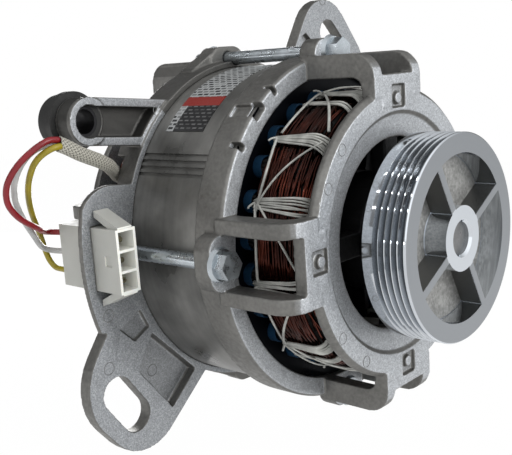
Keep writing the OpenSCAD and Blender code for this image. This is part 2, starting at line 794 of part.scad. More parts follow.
module front_bell() {
    ring_in = ring_r - 3;
    color("darkgray") difference() {
        union() {
            // Front ring with its cove
            spun() polygon([
                [opening_r, front_ring_y + 2.6], [opening_r + 1.6, front_ring_y + 2],
                [opening_r + 7.6, front_ring_y + 1.2], [opening_r + 9, front_ring_y],
                [ring_r - ring_chamfer, front_ring_y], [ring_r, front_ring_y + ring_chamfer],
                [ring_r, front_y + ring_t - 1], [ring_r - 1, front_y + ring_t],
                [opening_r, front_y + ring_t]
            ]);
            // Clamp band and its front wall
            spun() polygon([
                [band_in_r, band_front], [band_r - 0.8, band_front], [band_r, band_front + 0.8],
                [band_r, band_end], [stator_r - 2, band_end], [stator_r - 2, stator_y],
                [band_in_r, stator_y]
            ]);
            for (a = arm_angles) turned(a) {
                arm_pair(arm_r, arm_corner, band_front + 2.5, front_y, ring_in, ring_t + 1);
                // Pad between the two arms
                translate([ring_in - 3.6, front_y, -arm_in - 0.2])
                    cube([pad_r - ring_in + 3.6, ring_t + step, 2 * arm_in + 0.4]);
                // Ear for the through bolt
                slab(ear_front, stator_y + 4) ear_outline();
                // Spoke to the bearing hub
                translate([hub_r - 2, front_y + 3.6 + step, -bell_spoke_w / 2])
                    cube([opening_r - hub_r + 5, ring_t + 1.4, bell_spoke_w]);
            }
            rod(hub_r, front_y + 3.6, hub_end);
        }
        rod(stator_r + shake, stator_y, band_end + 1);
        rod(bearing_r + fit, front_bearing_y, hub_end + 1);
        rod(outer_race_r - 1, front_y, hub_end);
        bolt_holes(ear_front - 1, band_end + 1);
        for (a = arm_angles) turned(a)
            translate([pad_pocket_at - pad_pocket / 2, front_y - 1, -pad_pocket / 2])
                cube([pad_pocket, pad_pocket_d + 1, pad_pocket]);
        // Casting notches in the front corner of the band
        for (n = [[126.6, 128.2], [134.2, 139.8], [149.4, 151.4]]) slab(band_front - 1, stator_y + 1)
            difference() {
                sector(n[0], n[1]);
                circle(r = band_r - 3.2);
            }
        slab(stator_y - 1.5, band_end - 1.5) difference() {
            sector(135.5, 140.5);
            circle(r = band_r - 1.6);
        }
    }
    // Nub in each pad's pocket
    color("darkgray") for (a = arm_angles) turned(a) translate([pad_pocket_at - 0.7, 0, 0])
        rod(nub_r, front_y + 0.1, front_y + pad_pocket_d + 0.5);
}

// Flange outline, with the left plate, both lugs and the arm of the pivot tube

lower_slot = [-67.7, -57.1];
lower_slot_angle = -49;
upper_slot = [51.8, 77.5];
upper_slot_angle = -39.5;

module slot_hole(start, angle, width, run) {
    translate(start) rotate(angle) {
        circle(r = width / 2);
        translate([run, 0]) circle(r = width / 2);
        translate([0, -width / 2]) square([run, width]);
    }
}

module left_plate() {
    intersection() {
        circle(r = flange_r_left);
        polygon(rounded([
            [-50, 16.8, 0], [-flange_r_left - 1, 16.8, 14], [-flange_r_left - 1, -34.4, 0], [-50, -34.4, 0]
        ]));
    }
}

module lower_lug() {
    polygon(rounded([
        [-50, -20, 0], [-69.4, -30.4, 0], [-85.9, -57.7, 22], [-55.3, -88.3, 18], [-19, -52, 0]
    ]));
}

module upper_lug() {
    polygon(rounded([
        [22.4, 56, 0], [45.4, 102.3, 16], [82, 66.2, 14], [57, 22, 0], [40, 30, 0]
    ]));
}

module pivot_arm() {
    translate([-pivot_x, pivot_z - tube_r]) square([36, 2 * tube_r]);
}

// The trough between the pivot tube and the rim
module trough() {
    half = 5.2;
    top = pivot_z + half;
    bottom = pivot_z - half;
    polygon(concat(
        [[-pivot_x + 1, bottom], [-pivot_x + 1, top]],
        arc(trough_in_r, 180 - asin(top / trough_in_r), 180 - asin(bottom / trough_in_r), 5)
    ));
}

module connector_frame() {
    turned(connector_angle) translate([connector_r, 0, 0]) children();
}

module window_outline(grow) {
    rotate(connector_angle) translate([connector_r, 0])
        square([connector_t + 2 * grow, connector_w + 2 * grow], center = true);
}

module rear_bell() {
    ring_in = rear_ring_r - 3;
    color("darkgray") difference() {
        union() {
            // Rim and the wall behind the stator
            spun() polygon([
                [band_in_r, stator_end], [stator_r - 2, stator_end], [stator_r - 2, flange_y],
                [rim_r, flange_y], [rim_r, rear_wall_end], [band_in_r, rear_wall_end]
            ]);
            slab(flange_y, flange_y + plate_t) left_plate();
            slab(flange_y, flange_back) {
                lower_lug();
                upper_lug();
            }
            slab(flange_y + trough_set, tube_end - step) pivot_arm();
            translate([-pivot_x, 0, pivot_z]) rod(tube_r, flange_y, tube_end);
            for (a = arm_angles) turned(a) {
                slab(flange_back - 1, nut_seat) ear_outline();
                slab(flange_back - 0.5, nut_seat - step) ear_foot_outline();
                arm_pair(rear_arm_r, rear_arm_corner, rear_wall_end - 1.5, rear_y, ring_in, ring_t);
                translate([hub_r - 2, rear_y - ring_t + 2 * step, -bell_spoke_w / 2])
                    cube([opening_r - hub_r + 5, ring_t - 4 * step, bell_spoke_w]);
            }
            // Rear ring
            spun() polygon([
                [opening_r, rear_y - ring_t + step], [rear_ring_r, rear_y - ring_t + step],
                [rear_ring_r, rear_ring_y - 1], [rear_ring_r - 1, rear_ring_y], [opening_r, rear_ring_y]
            ]);
            rod(hub_r, rear_bearing_y + 0.5, rear_seat_end + 2);
        }
        rod(stator_r + shake, flange_y - 1, stator_end);
        rod(bearing_r + fit, rear_bearing_y - 1, rear_seat_end);
        rod(6, rear_seat_end - 1, rear_seat_end + 3);
        bolt_holes(flange_y - 1, rear_wall_end + 1);
        // Seats of the nuts
        for (a = arm_angles) turned(a) translate([bolt_circle, 0, 0])
            rod(nut_flange_r + 0.4, nut_seat, rear_wall_end + 1);
        slab(flange_y - 1, tube_end - trough_floor) difference() {
            trough();
            translate([-pivot_x, pivot_z]) circle(r = tube_r);
        }
        slab(flange_y - 1, flange_y + mouth_l) trough();
        translate([-pivot_x, 0, pivot_z]) {
            rod(mouth_r, flange_y - 1, tube_end);
            rod(spigot_r, flange_y + mouth_l, tube_end + 1);
        }
        slab(flange_y - 1, flange_back + 1) {
            slot_hole(lower_slot, lower_slot_angle, lower_slot_w, lower_slot_run);
            slot_hole(upper_slot, upper_slot_angle, upper_slot_w, upper_slot_run);
            window_outline(window_clear);
        }
        // Notch through which the sleeve enters
        slab(stator_end - 1.2, rear_wall_end + 1) difference() {
            sector(155, 167);
            circle(r = band_in_r - 2);
        }
        // Pockets in the lower lug
        slab(flange_y - 1, flange_y + lug_pocket)
            polygon([[-51.6, -38], [-58.1, -50.7], [-41.8, -68], [-30.2, -55.5]]);
        slab(flange_y - 1, flange_y + 1.3)
            polygon([[-57.1, -28.5], [-66.4, -34.2], [-59.7, -39.4], [-53, -35.1]]);
        slab(flange_y - 1, flange_y + 2.2)
            polygon([[33.6, 74.2], [36.3, 76], [40, 73.4], [38, 70]]);
    }
}

// Fasteners

module hex(r0) {
    circle(r = r0 / cos(30), $fn = 6);
}

module through_bolts() {
    color("lightsteelblue") for (a = arm_angles) turned(a) translate([bolt_circle, 0, 0]) {
        rod(bolt_r, ear_front - 1, nut_seat + nut_h + thread_out);
        cone(head_flange_r - 0.7, head_flange_r, ear_front - 1.4, ear_front - 0.01);
        slab(ear_front - head_h, ear_front - 1) hex(flats / 2);
    }
}

module flange_nuts() {
    color("lightsteelblue") for (a = arm_angles) turned(a) translate([bolt_circle, 0, 0])
        difference() {
            union() {
                cone(nut_flange_r, nut_flange_r - 0.5, nut_seat + 0.01, nut_seat + 1.4);
                slab(nut_seat + 1, nut_seat + nut_h) hex(flats / 2);
            }
            rod(bolt_r + fit, nut_seat - 1, nut_seat + nut_h + 1);
        }
}

// Pivot

module pivot_bush() {
    color("dimgray") translate([-pivot_x, 0, pivot_z]) difference() {
        union() {
            rod(spigot_r - fit, flange_y + mouth_l + 0.1, tube_end + 0.5);
            rod(collar_r, tube_end + 0.01, collar_end);
            rod(bush_r, collar_end - 0.5, bush_end);
        }
        rod(sleeve_r, flange_y, bush_end + 1);
    }
}

module pivot_sleeve() {
    color("silver") translate([-pivot_x, 0, pivot_z]) difference() {
        rod(sleeve_r - fit, sleeve_front, sleeve_end);
        rod(pivot_bore_r, sleeve_front - 1, sleeve_end + 1);
    }
}

// Connector

module connector_housing() {
    half_t = connector_t / 2;
    half_w = connector_w / 2;
    color("ivory") connector_frame() difference() {
        union() {
            translate([-half_t, connector_y, -half_w]) cube([connector_t, connector_l, connector_w]);
            // Collar behind the flange
            translate([-half_t - lip_in, flange_y + plate_t + 0.3, -half_w - lip])
                cube([connector_t + lip_in + lip, 2, connector_w + 2 * lip]);
            // Sprung arms that hold the connector in front of the flange
            for (side = [0, 1]) mirror([0, 0, side]) latch_arm(half_w);
        }
        for (i = [-1:1]) translate([0, 0, i * pin_pitch]) {
            translate([-cavity_t / 2, connector_y - 1, -cavity_w / 2])
                cube([cavity_t, cavity_d + 1, cavity_w]);
            rod(lead_d / 2 + 0.35, connector_y, connector_end + 1);
        }
        translate([half_t - 0.5, connector_y + 3.4, -connector_mark / 2])
            cube([1, connector_mark, connector_mark]);
    }
}

module latch_arm(half_w) {
    tip = flange_y - 0.6;
    translate([-3, 0, 0]) rotate([0, -90, 0]) mirror([0, 0, 1]) linear_extrude(height = 6)
        polygon([
            [half_w - 0.5, connector_y + 0.3], [half_w + 0.6, connector_y + 0.3],
            [half_w + 5.6, tip], [half_w + 3.4, tip], [half_w - 0.5, connector_y + 4.2]
        ]);
}

module connector_terminals() {
    color("gold") connector_frame() for (i = [-1:1]) translate([0, 0, i * pin_pitch]) {
        rod(1, connector_y + pin_set, connector_y + cavity_d);
        rod(lead_d / 2 + 0.3, connector_y + cavity_d - 0.5, crimp_end);
    }
}

module rating_label() {
    y0 = flange_y - label_set - label_l;
    color("white") intersection() {
        difference() {
            rod(stator_r + label_t, y0, y0 + label_l);
            rod(stator_r, y0 - 1, y0 + label_l + 1);
        }
        slab(y0 - 1, y0 + label_l + 1) sector(label_from, label_to);
    }
}

place() rear_bell();
place() front_bell();
place() stator_core();
place() slot_liners();
place() slot_wedges();
place() slot_conductors();
place() front_end() coil_bundle();  // front_coil_bundle
place() front_end() winding(front_turns);  // front_winding
place() front_end() lacing();  // front_lacing
place() rear_end() coil_bundle();  // rear_coil_bundle
place() rear_end() winding(rear_turns);  // rear_winding
place() rear_end() lacing();  // rear_lacing
place() through_bolts();
place() flange_nuts();
place() wave_washer();
place() bearing_outer(front_bearing_y);  // front_bearing_outer
place() bearing_inner(front_bearing_y);  // front_bearing_inner
place() bearing_balls(front_bearing_y);  // front_bearing_balls
place() bearing_cage(front_bearing_y);  // front_bearing_cage
place() bearing_shields(front_bearing_y);  // front_bearing_shields
place() bearing_outer(rear_bearing_y);  // rear_bearing_outer
place() bearing_inner(rear_bearing_y);  // rear_bearing_inner
place() bearing_balls(rear_bearing_y);  // rear_bearing_balls
place() bearing_cage(rear_bearing_y);  // rear_bearing_cage
place() bearing_shields(rear_bearing_y);  // rear_bearing_shields
place() shaft();
place() rotor_core();
place() rotor_cage();
place() pulley();
place() pivot_bush();
place() pivot_sleeve();
place() connector_housing();
place() connector_terminals();
place() color("ivory") cord(sleeve_route, sleeve_d, 12);  // wire_sleeve
place() color("firebrick") cord(drawn_out(red_route), lead_d, 8);  // lead_red
place() color("white") cord(drawn_out(white_route), lead_d, 8);  // lead_white
place() color("olive") cord(drawn_out(yellow_route), lead_d, 8);  // lead_yellow
place() rating_label();
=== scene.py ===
# %% [markdown]
# A washing machine motor, dressed for a photograph. The solids come packed from the CAD model, at
# their real size, and stay where they are. This file gives each of them its finish, and makes the
# soft and the fine things itself: copper strands, lacing, a woven sleeve and three leads. Each
# step starts with a few words on what the piece is on a real motor and why it is made this way.

# %% Load the frame
import json
import math

import bmesh
import bpy
import numpy as np
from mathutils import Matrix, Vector


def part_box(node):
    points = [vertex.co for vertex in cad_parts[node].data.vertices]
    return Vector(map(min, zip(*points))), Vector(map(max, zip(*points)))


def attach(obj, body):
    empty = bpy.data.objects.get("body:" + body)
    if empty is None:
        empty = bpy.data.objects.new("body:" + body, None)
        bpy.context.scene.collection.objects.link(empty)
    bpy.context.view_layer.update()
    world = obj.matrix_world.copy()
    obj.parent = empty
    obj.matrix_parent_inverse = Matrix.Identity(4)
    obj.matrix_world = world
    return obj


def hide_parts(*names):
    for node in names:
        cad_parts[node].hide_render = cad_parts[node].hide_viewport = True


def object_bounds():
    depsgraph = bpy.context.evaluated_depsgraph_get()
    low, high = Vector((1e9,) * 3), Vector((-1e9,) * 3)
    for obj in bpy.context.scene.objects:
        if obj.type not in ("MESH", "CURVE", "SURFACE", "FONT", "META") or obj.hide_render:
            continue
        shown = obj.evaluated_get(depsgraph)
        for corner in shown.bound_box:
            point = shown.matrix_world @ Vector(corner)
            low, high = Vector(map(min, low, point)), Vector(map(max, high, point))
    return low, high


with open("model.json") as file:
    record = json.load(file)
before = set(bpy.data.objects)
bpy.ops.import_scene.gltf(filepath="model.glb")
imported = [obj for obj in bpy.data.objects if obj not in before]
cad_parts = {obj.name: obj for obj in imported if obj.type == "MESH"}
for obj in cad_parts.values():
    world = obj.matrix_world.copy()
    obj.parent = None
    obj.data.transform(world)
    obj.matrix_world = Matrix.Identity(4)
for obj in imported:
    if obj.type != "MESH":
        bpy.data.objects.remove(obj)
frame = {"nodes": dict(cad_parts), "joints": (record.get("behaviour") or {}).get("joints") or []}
cad_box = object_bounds()
nodes = frame["nodes"]

# %% [markdown]
# A motor is drawn round its axis, so places are given as a mechanic would give them: millimetres
# to the right of the axis, back from the pulley's face and up from the axis. The axis comes from
# the rotor's joint and the pulley's face from its node, so nothing here has to be measured twice.

# %% Places on the motor
spin = next(j for j in frame["joints"] if j["name"] == "rotor_spin")
axis_x = spin["pos_m"][0]
axis_z = spin["pos_m"][2]
face_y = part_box("pulley")[0][1]
MM = 0.001


def at(right, back, up):
    """A point in the frame, from millimetres off the axis and behind the pulley's face."""
    return Vector((axis_x + right * MM, face_y + back * MM, axis_z + up * MM))


def round_axis(radius, back, angle):
    """The same for a point at a radius and an angle, 0 to the right and 90 up."""
    a = math.radians(angle)
    return at(radius * math.cos(a), back, radius * math.sin(a))


print("axis at", round(axis_x, 4), round(axis_z, 4), "and the pulley's face at", round(face_y, 4))

# %% [markdown]
# The camera stands low in front of the motor, to the left of the pulley, close enough for the
# pulley to look large. The lens follows from how fast circles shrink towards the rear. A long lens
# from further away would flatten the motor, so the distance matters as much as the direction.

# %% Camera
camera_data = bpy.data.cameras.new("camera")
camera_data.sensor_width = 36
camera_data.lens = 60.8
camera = bpy.data.objects.new("camera", camera_data)
bpy.context.scene.collection.objects.link(camera)
camera.location = at(-255.35, -137.97, 36.06)
look = Vector((0.739, 0.664, -0.1142))
camera.rotation_euler = look.to_track_quat("-Z", "Y").to_euler()
bpy.context.scene.camera = camera
print("camera at", [round(v, 3) for v in camera.location])

# %% [markdown]
# The studio is one wide pale floor with a white world behind it. A wall would need its seam with
# the floor hidden. Light Path makes the floor plain white to the camera, and nearly so to
# mirror-like metal, while its real colour still takes the motor's shadow.

# %% Studio
FLOOR_GAP = 0.012
GROUND = cad_box[0][2] - FLOOR_GAP
FLOOR_REACH = 3.0
BACKDROP_WHITE = 0.985
GLOSSY_PART = 0.75


def seen_directly(tree, share):
    """A share for rays that show the backdrop itself, and a little less of it for glossy ones."""
    rays = tree.nodes.new("ShaderNodeLightPath")
    total = None
    parts = {"Is Camera Ray": share, "Is Transmission Ray": share, "Is Glossy Ray": share * GLOSSY_PART}
    for ray, part in parts.items():
        scaled = tree.nodes.new("ShaderNodeMath")
        scaled.operation = "MULTIPLY"
        scaled.inputs[1].default_value = part
        tree.links.new(rays.outputs[ray], scaled.inputs[0])
        if total is None:
            total = scaled.outputs[0]
            continue
        most = tree.nodes.new("ShaderNodeMath")
        most.operation = "MAXIMUM"
        tree.links.new(total, most.inputs[0])
        tree.links.new(scaled.outputs[0], most.inputs[1])
        total = most.outputs[0]
    return total


def backdrop_material():
    mat = bpy.data.materials.new("studio_white")
    mat.use_nodes = True
    tree = mat.node_tree
    tree.nodes.clear()
    out = tree.nodes.new("ShaderNodeOutputMaterial")
    paint = tree.nodes.new("ShaderNodeBsdfDiffuse")
    paint.inputs["Color"].default_value = (0.92, 0.92, 0.92, 1)
    glow = tree.nodes.new("ShaderNodeEmission")
    glow.inputs["Color"].default_value = (1, 1, 1, 1)
    mix = tree.nodes.new("ShaderNodeMixShader")
    tree.links.new(seen_directly(tree, BACKDROP_WHITE), mix.inputs["Fac"])
    tree.links.new(paint.outputs[0], mix.inputs[1])
    tree.links.new(glow.outputs[0], mix.inputs[2])
    tree.links.new(mix.outputs[0], out.inputs["Surface"])
    return mat


def sheet_of_floor(name, size, ground):
    mesh = bpy.data.meshes.new(name)
    corners = [(x * size, y * size, ground) for x, y in ((-1, -1), (1, -1), (1, 1), (-1, 1))]
    mesh.from_pydata(corners, [], [(0, 1, 2, 3)])
    obj = bpy.data.objects.new(name, mesh)
    bpy.context.scene.collection.objects.link(obj)
    obj.data.materials.append(backdrop_material())


sheet_of_floor("studio_floor", FLOOR_REACH, GROUND)
print("floor at", round(GROUND, 4))

# %% [markdown]
# The photograph is lit from the pulley's side: every face that looks forwards is bright, and every
# face that looks left or up is a plain mid grey. A world that is brighter in front than behind
# does this for rough and for shiny metal alike, and without hard shadows. The camera itself sees
# plain white where it looks past the floor.

# %% World light
LIGHT_FRONT = 1.5
LIGHT_REAR = 0.05
LIGHT_FROM = (-0.22, -0.95, 0.2)
world = bpy.data.worlds.new("studio_world")
bpy.context.scene.world = world
world.use_nodes = True
sky_tree = world.node_tree
sky_tree.nodes.clear()
sky_place = sky_tree.nodes.new("ShaderNodeTexCoord")
sky_toward = sky_tree.nodes.new("ShaderNodeVectorMath")
sky_toward.operation = "DOT_PRODUCT"
sky_toward.inputs[1].default_value = LIGHT_FROM
sky_level = sky_tree.nodes.new("ShaderNodeMapRange")
sky_level.inputs["From Min"].default_value = -0.5
sky_level.inputs["From Max"].default_value = 0.95
sky_level.inputs["To Min"].default_value = LIGHT_REAR
sky_level.inputs["To Max"].default_value = LIGHT_FRONT
sky = sky_tree.nodes.new("ShaderNodeBackground")
sky.inputs["Color"].default_value = (0.98, 0.99, 1.0, 1)
white = sky_tree.nodes.new("ShaderNodeBackground")
white.inputs["Color"].default_value = (1, 1, 1, 1)
sky_mix = sky_tree.nodes.new("ShaderNodeMixShader")
sky_out = sky_tree.nodes.new("ShaderNodeOutputWorld")
sky_rays = sky_tree.nodes.new("ShaderNodeLightPath")
sky_tree.links.new(sky_place.outputs["Generated"], sky_toward.inputs[0])
sky_tree.links.new(sky_toward.outputs["Value"], sky_level.inputs["Value"])
sky_tree.links.new(sky_level.outputs["Result"], sky.inputs["Strength"])
sky_tree.links.new(sky_rays.outputs["Is Camera Ray"], sky_mix.inputs["Fac"])
sky_tree.links.new(sky.outputs[0], sky_mix.inputs[1])
sky_tree.links.new(white.outputs[0], sky_mix.inputs[2])
sky_tree.links.new(sky_mix.outputs[0], sky_out.inputs["Surface"])
bpy.context.scene.view_settings.view_transform = "Standard"
print("world of", LIGHT_FRONT, "in front and", LIGHT_REAR, "behind")

# %% [markdown]
# A softbox in front adds a little shine to the faces that look forwards. Four narrow strips stand
# behind the motor, in an arc from above to the left, where the polished grooves of the pulley
# mirror them as thin lines. A softbox behind and to the right reaches mostly what faces away from
# the camera, for other views. All of them are low, because pale metal burns out long before its
# colour looks wrong.

# %% Lamps
STRIPS = ((-216, 444, 666), (-451, 448, 536), (-596, 450, 370), (-701, 451, -34))
STRIP_SIZE = (0.5, 0.012)
STRIP_POWER = 0.24


def lamp(name, place, aim, size, power):
    data = bpy.data.lights.new(name, "AREA")
    data.shape = "RECTANGLE"
    data.size = size[0]
    data.size_y = size[1]
    data.energy = power
    obj = bpy.data.objects.new(name, data)
    bpy.context.scene.collection.objects.link(obj)
    obj.location = place
    obj.rotation_euler = (aim - place).to_track_quat("-Z", "Y").to_euler()


middle = at(0, 70, 0)
lamp("front_softbox", at(120, -700, 260), middle, (0.35, 0.35), 2.6)
lamp("rear_softbox", at(450, 700, 40), middle, (0.6, 0.6), 9)
grooves = at(-20, 10, 0)
for strip in STRIPS:
    lamp("strip_%d" % -strip[0], at(*strip), grooves, STRIP_SIZE, STRIP_POWER)
print("two softboxes and", len(STRIPS), "strips")

# %% [markdown]
# Every finish below is built from the same few moves: a noise in the piece's own coordinates, a
# ramp that turns it into a colour or a roughness, and a bump. Small helpers keep each finish
# short, so that what differs between cast metal, copper enamel and nylon stays easy to see.

# %% Helpers for finishes


def finish(name, colour, metallic, roughness):
    """A new material and a dictionary of what its finish needs."""
    mat = bpy.data.materials.new(name)
    mat.use_nodes = True
    tree = mat.node_tree
    shader = tree.nodes["Principled BSDF"]
    shader.inputs["Base Color"].default_value = (*colour, 1)
    shader.inputs["Metallic"].default_value = metallic
    shader.inputs["Roughness"].default_value = roughness
    return {"mat": mat, "tree": tree, "shader": shader, "colour": colour}


def own_coordinates(f, stretch=(1, 1, 1)):
    """The piece's own coordinates, each axis multiplied by its stretch."""
    if stretch in f:
        return f[stretch]
    place = f["tree"].nodes.new("ShaderNodeTexCoord")
    scale = f["tree"].nodes.new("ShaderNodeMapping")
    scale.inputs["Scale"].default_value = stretch
    f["tree"].links.new(place.outputs["Object"], scale.inputs["Vector"])
    f[stretch] = scale.outputs[0]
    return f[stretch]


def noise(f, size_mm, detail=3, stretch=(1, 1, 1)):
    """A noise whose blobs are about size_mm across."""
    node = f["tree"].nodes.new("ShaderNodeTexNoise")
    node.inputs["Scale"].default_value = 1000 / size_mm / 2
    node.inputs["Detail"].default_value = detail
    f["tree"].links.new(own_coordinates(f, stretch), node.inputs["Vector"])
    return node.outputs["Fac"]


def cells(f, size_mm):
    """Random cells about size_mm across, as in crushed or sparkling metal."""
    node = f["tree"].nodes.new("ShaderNodeTexVoronoi")
    node.inputs["Scale"].default_value = 1000 / size_mm
    f["tree"].links.new(own_coordinates(f), node.inputs["Vector"])
    return node.outputs["Color"]


def ramp(f, value, stops):
    """Turns a value into a colour, with stops of (position, colour)."""
    node = f["tree"].nodes.new("ShaderNodeValToRGB")
    band = node.color_ramp
    while len(band.elements) < len(stops):
        band.elements.new(0.5)
    for element, (position, colour) in zip(band.elements, stops):
        element.position = position
        element.color = (*colour, 1) if len(colour) == 3 else colour
    f["tree"].links.new(value, node.inputs["Fac"])
    return node.outputs["Color"]


def span(f, value, low, high, from_low=0.3, from_high=0.7):
    """Stretches a value's middle range to low..high."""
    node = f["tree"].nodes.new("ShaderNodeMapRange")
    node.inputs["From Min"].default_value = from_low
    node.inputs["From Max"].default_value = from_high
    node.inputs["To Min"].default_value = low
    node.inputs["To Max"].default_value = high
    f["tree"].links.new(value, node.inputs["Value"])
    return node.outputs["Result"]


print("noises and ramps ready")

# %% [markdown]
# A finish often hangs on two things at once, such as how deep a place lies and which way it looks.
# The sums below join such values, so that a finish reads like a description of the real surface.
# The last ones put the result on the shader, and the finish on a node.

# %% Sums, faces and bumps


def maths(f, operation, a, b=None):
    node = f["tree"].nodes.new("ShaderNodeMath")
    node.operation = operation
    for socket, value in zip(node.inputs, (a, b)):
        if value is None:
            continue
        if isinstance(value, (int, float)):
            socket.default_value = value
        else:
            f["tree"].links.new(value, socket)
    return node.outputs[0]


def times(f, a, b):
    return maths(f, "MULTIPLY", a, b)


def plus(f, a, b):
    return maths(f, "ADD", a, b)


def either(f, a, b):
    return maths(f, "MAXIMUM", a, b)


def above(f, value, limit):
    return maths(f, "GREATER_THAN", value, limit)


def below(f, value, limit):
    return maths(f, "LESS_THAN", value, limit)


def to(f, socket, value):
    f["tree"].links.new(value, f["shader"].inputs[socket])


def bump(f, height, depth_mm, strength=1.0):
    """Raises the surface by a height; several calls stack on each other."""
    node = f["tree"].nodes.new("ShaderNodeBump")
    node.inputs["Distance"].default_value = depth_mm * MM
    node.inputs["Strength"].default_value = strength
    f["tree"].links.new(height, node.inputs["Height"])
    if "bump" in f:
        f["tree"].links.new(f["bump"], node.inputs["Normal"])
    f["bump"] = node.outputs[0]
    to(f, "Normal", f["bump"])


def tinted(f, value, low, high, from_low=0.3, from_high=0.7):
    """The finish's colour, darker and lighter by the factors low and high."""
    stops = [(from_low, shaded(f["colour"], low)), (from_high, shaded(f["colour"], high))]
    to(f, "Base Color", ramp(f, value, stops))


def mixed(f, share, a, b):
    """Colour a where share is 0 and colour b where it is 1; either may be a plain colour."""
    node = f["tree"].nodes.new("ShaderNodeMix")
    node.data_type = "RGBA"
    f["tree"].links.new(share, node.inputs["Factor"])
    for socket, value in ((node.inputs[6], a), (node.inputs[7], b)):
        if isinstance(value, tuple):
            socket.default_value = (*value, 1)
        else:
            f["tree"].links.new(value, socket)
    return node.outputs[2]


def facing(f, axis, sign, start=0.8, end=0.95):
    """1 on faces that look along an axis of the piece, 0 on the others."""
    place = f["tree"].nodes.new("ShaderNodeTexCoord")
    parts = f["tree"].nodes.new("ShaderNodeSeparateXYZ")
    f["tree"].links.new(place.outputs["Normal"], parts.inputs[0])
    return span(f, times(f, parts.outputs[axis], sign), 0, 1, start, end)


def between(f, value, low, high):
    """1 where a value lies between two limits, 0 elsewhere."""
    return times(f, above(f, value, low), below(f, value, high))


def shaded(colour, factor):
    return tuple(min(1, c * factor) for c in colour)


def wear(name, f):
    """Puts a finish on a CAD node."""
    nodes[name].data.materials.clear()
    nodes[name].data.materials.append(f["mat"])


print("finish helpers ready")

# %% [markdown]
# Die-cast aluminium comes out of its mould smooth and dull, a warm dark grey. The raised faces that
# look forwards have been skimmed by a cutter and blasted, so they are full of tiny facets. They also
# get a paler colour, which is painted light from the front, with a painted sparkle: another shade in
# each facet. This painted light is a little stronger on the front bell than on the rear one. The
# floors of the pockets stay as cast and get no painted light; they and the trough are darkened as
# painted shade, the trough most, and the ear faces and the rear rim are darker too. One finish does
# all this: the way a face looks and how deep it lies decide what it gets. The middle of the front
# bell is painted nearly black, as painted shade.

# %% Cast aluminium
# Where some faces lie: millimetres behind the pulley's face, millimetres of radius, and degrees
PAD_FLOORS = (23.3, 25.6)
PAD_FROM_RADIUS = 43
PLATE_FLOORS = (96.8, 101)
EAR_FACES = (99.8, 101.2)
TROUGH_FLOOR = (97.4, 103)
TROUGH_FROM_RADIUS = 63.5
TROUGH_TURN = (134, 170)
RIM_RADII = (59.8, 63.4)
RIM_FROM = 95.2
RIM_TURN = (75, 137)
HUB_RADIUS = 33.3
HUB_WALLS = (25.6, 60)
REAR_BELL_FROM = 90
# Painted shade: the nearly black colour of the inside of the front bell.
HUB_SHADE = (0.012, 0.012, 0.013)


def round_the_axis(f):
    """Radius and way behind the pulley's face in millimetres, and the angle in degrees."""
    place = f["tree"].nodes.new("ShaderNodeTexCoord")
    shift = f["tree"].nodes.new("ShaderNodeMapping")
    shift.inputs["Location"].default_value = (-axis_x / MM, -face_y / MM, -axis_z / MM)
    shift.inputs["Scale"].default_value = (1 / MM, 1 / MM, 1 / MM)
    parts = f["tree"].nodes.new("ShaderNodeSeparateXYZ")
    f["tree"].links.new(place.outputs["Object"], shift.inputs["Vector"])
    f["tree"].links.new(shift.outputs[0], parts.inputs[0])
    x, y, z = parts.outputs
    radius = maths(f, "SQRT", plus(f, times(f, x, x), times(f, z, z)))
    angle = times(f, maths(f, "ARCTAN2", z, x), 180 / math.pi)
    return radius, y, angle


def joined(f, x, y):
    node = f["tree"].nodes.new("ShaderNodeCombineXYZ")
    f["tree"].links.new(x, node.inputs["X"])
    f["tree"].links.new(y, node.inputs["Y"])
    return node.outputs[0]


def sunk_places(f, radius, back, angle):
    """How sunk a place is, and whether it is on the rear rim or in the trough, each 0 to 1."""
    pads = times(f, between(f, back, *PAD_FLOORS), above(f, radius, PAD_FROM_RADIUS))
    floors = plus(f, times(f, between(f, back, *PLATE_FLOORS), 0.16), times(f, pads, 0.45))
    trough = times(f, between(f, back, *TROUGH_FLOOR), above(f, radius, TROUGH_FROM_RADIUS))
    trough = times(f, trough, between(f, angle, *TROUGH_TURN))
    rim = times(f, between(f, radius, *RIM_RADII), above(f, back, RIM_FROM))
    rim = times(f, rim, between(f, angle, *RIM_TURN))
    sunk = either(f, either(f, floors, trough), either(f, rim, between(f, back, *EAR_FACES)))
    return sunk, rim, trough


def blasted_and_lit(f, facets, colour):
    """The painted lit colour of a face that looks forwards, with a painted sparkle: another shade in each
    facet.
    """
    return ramp(f, facets, [(0.1, shaded(colour, 0.72)), (0.6, colour), (0.92, shaded(colour, 1.3))])


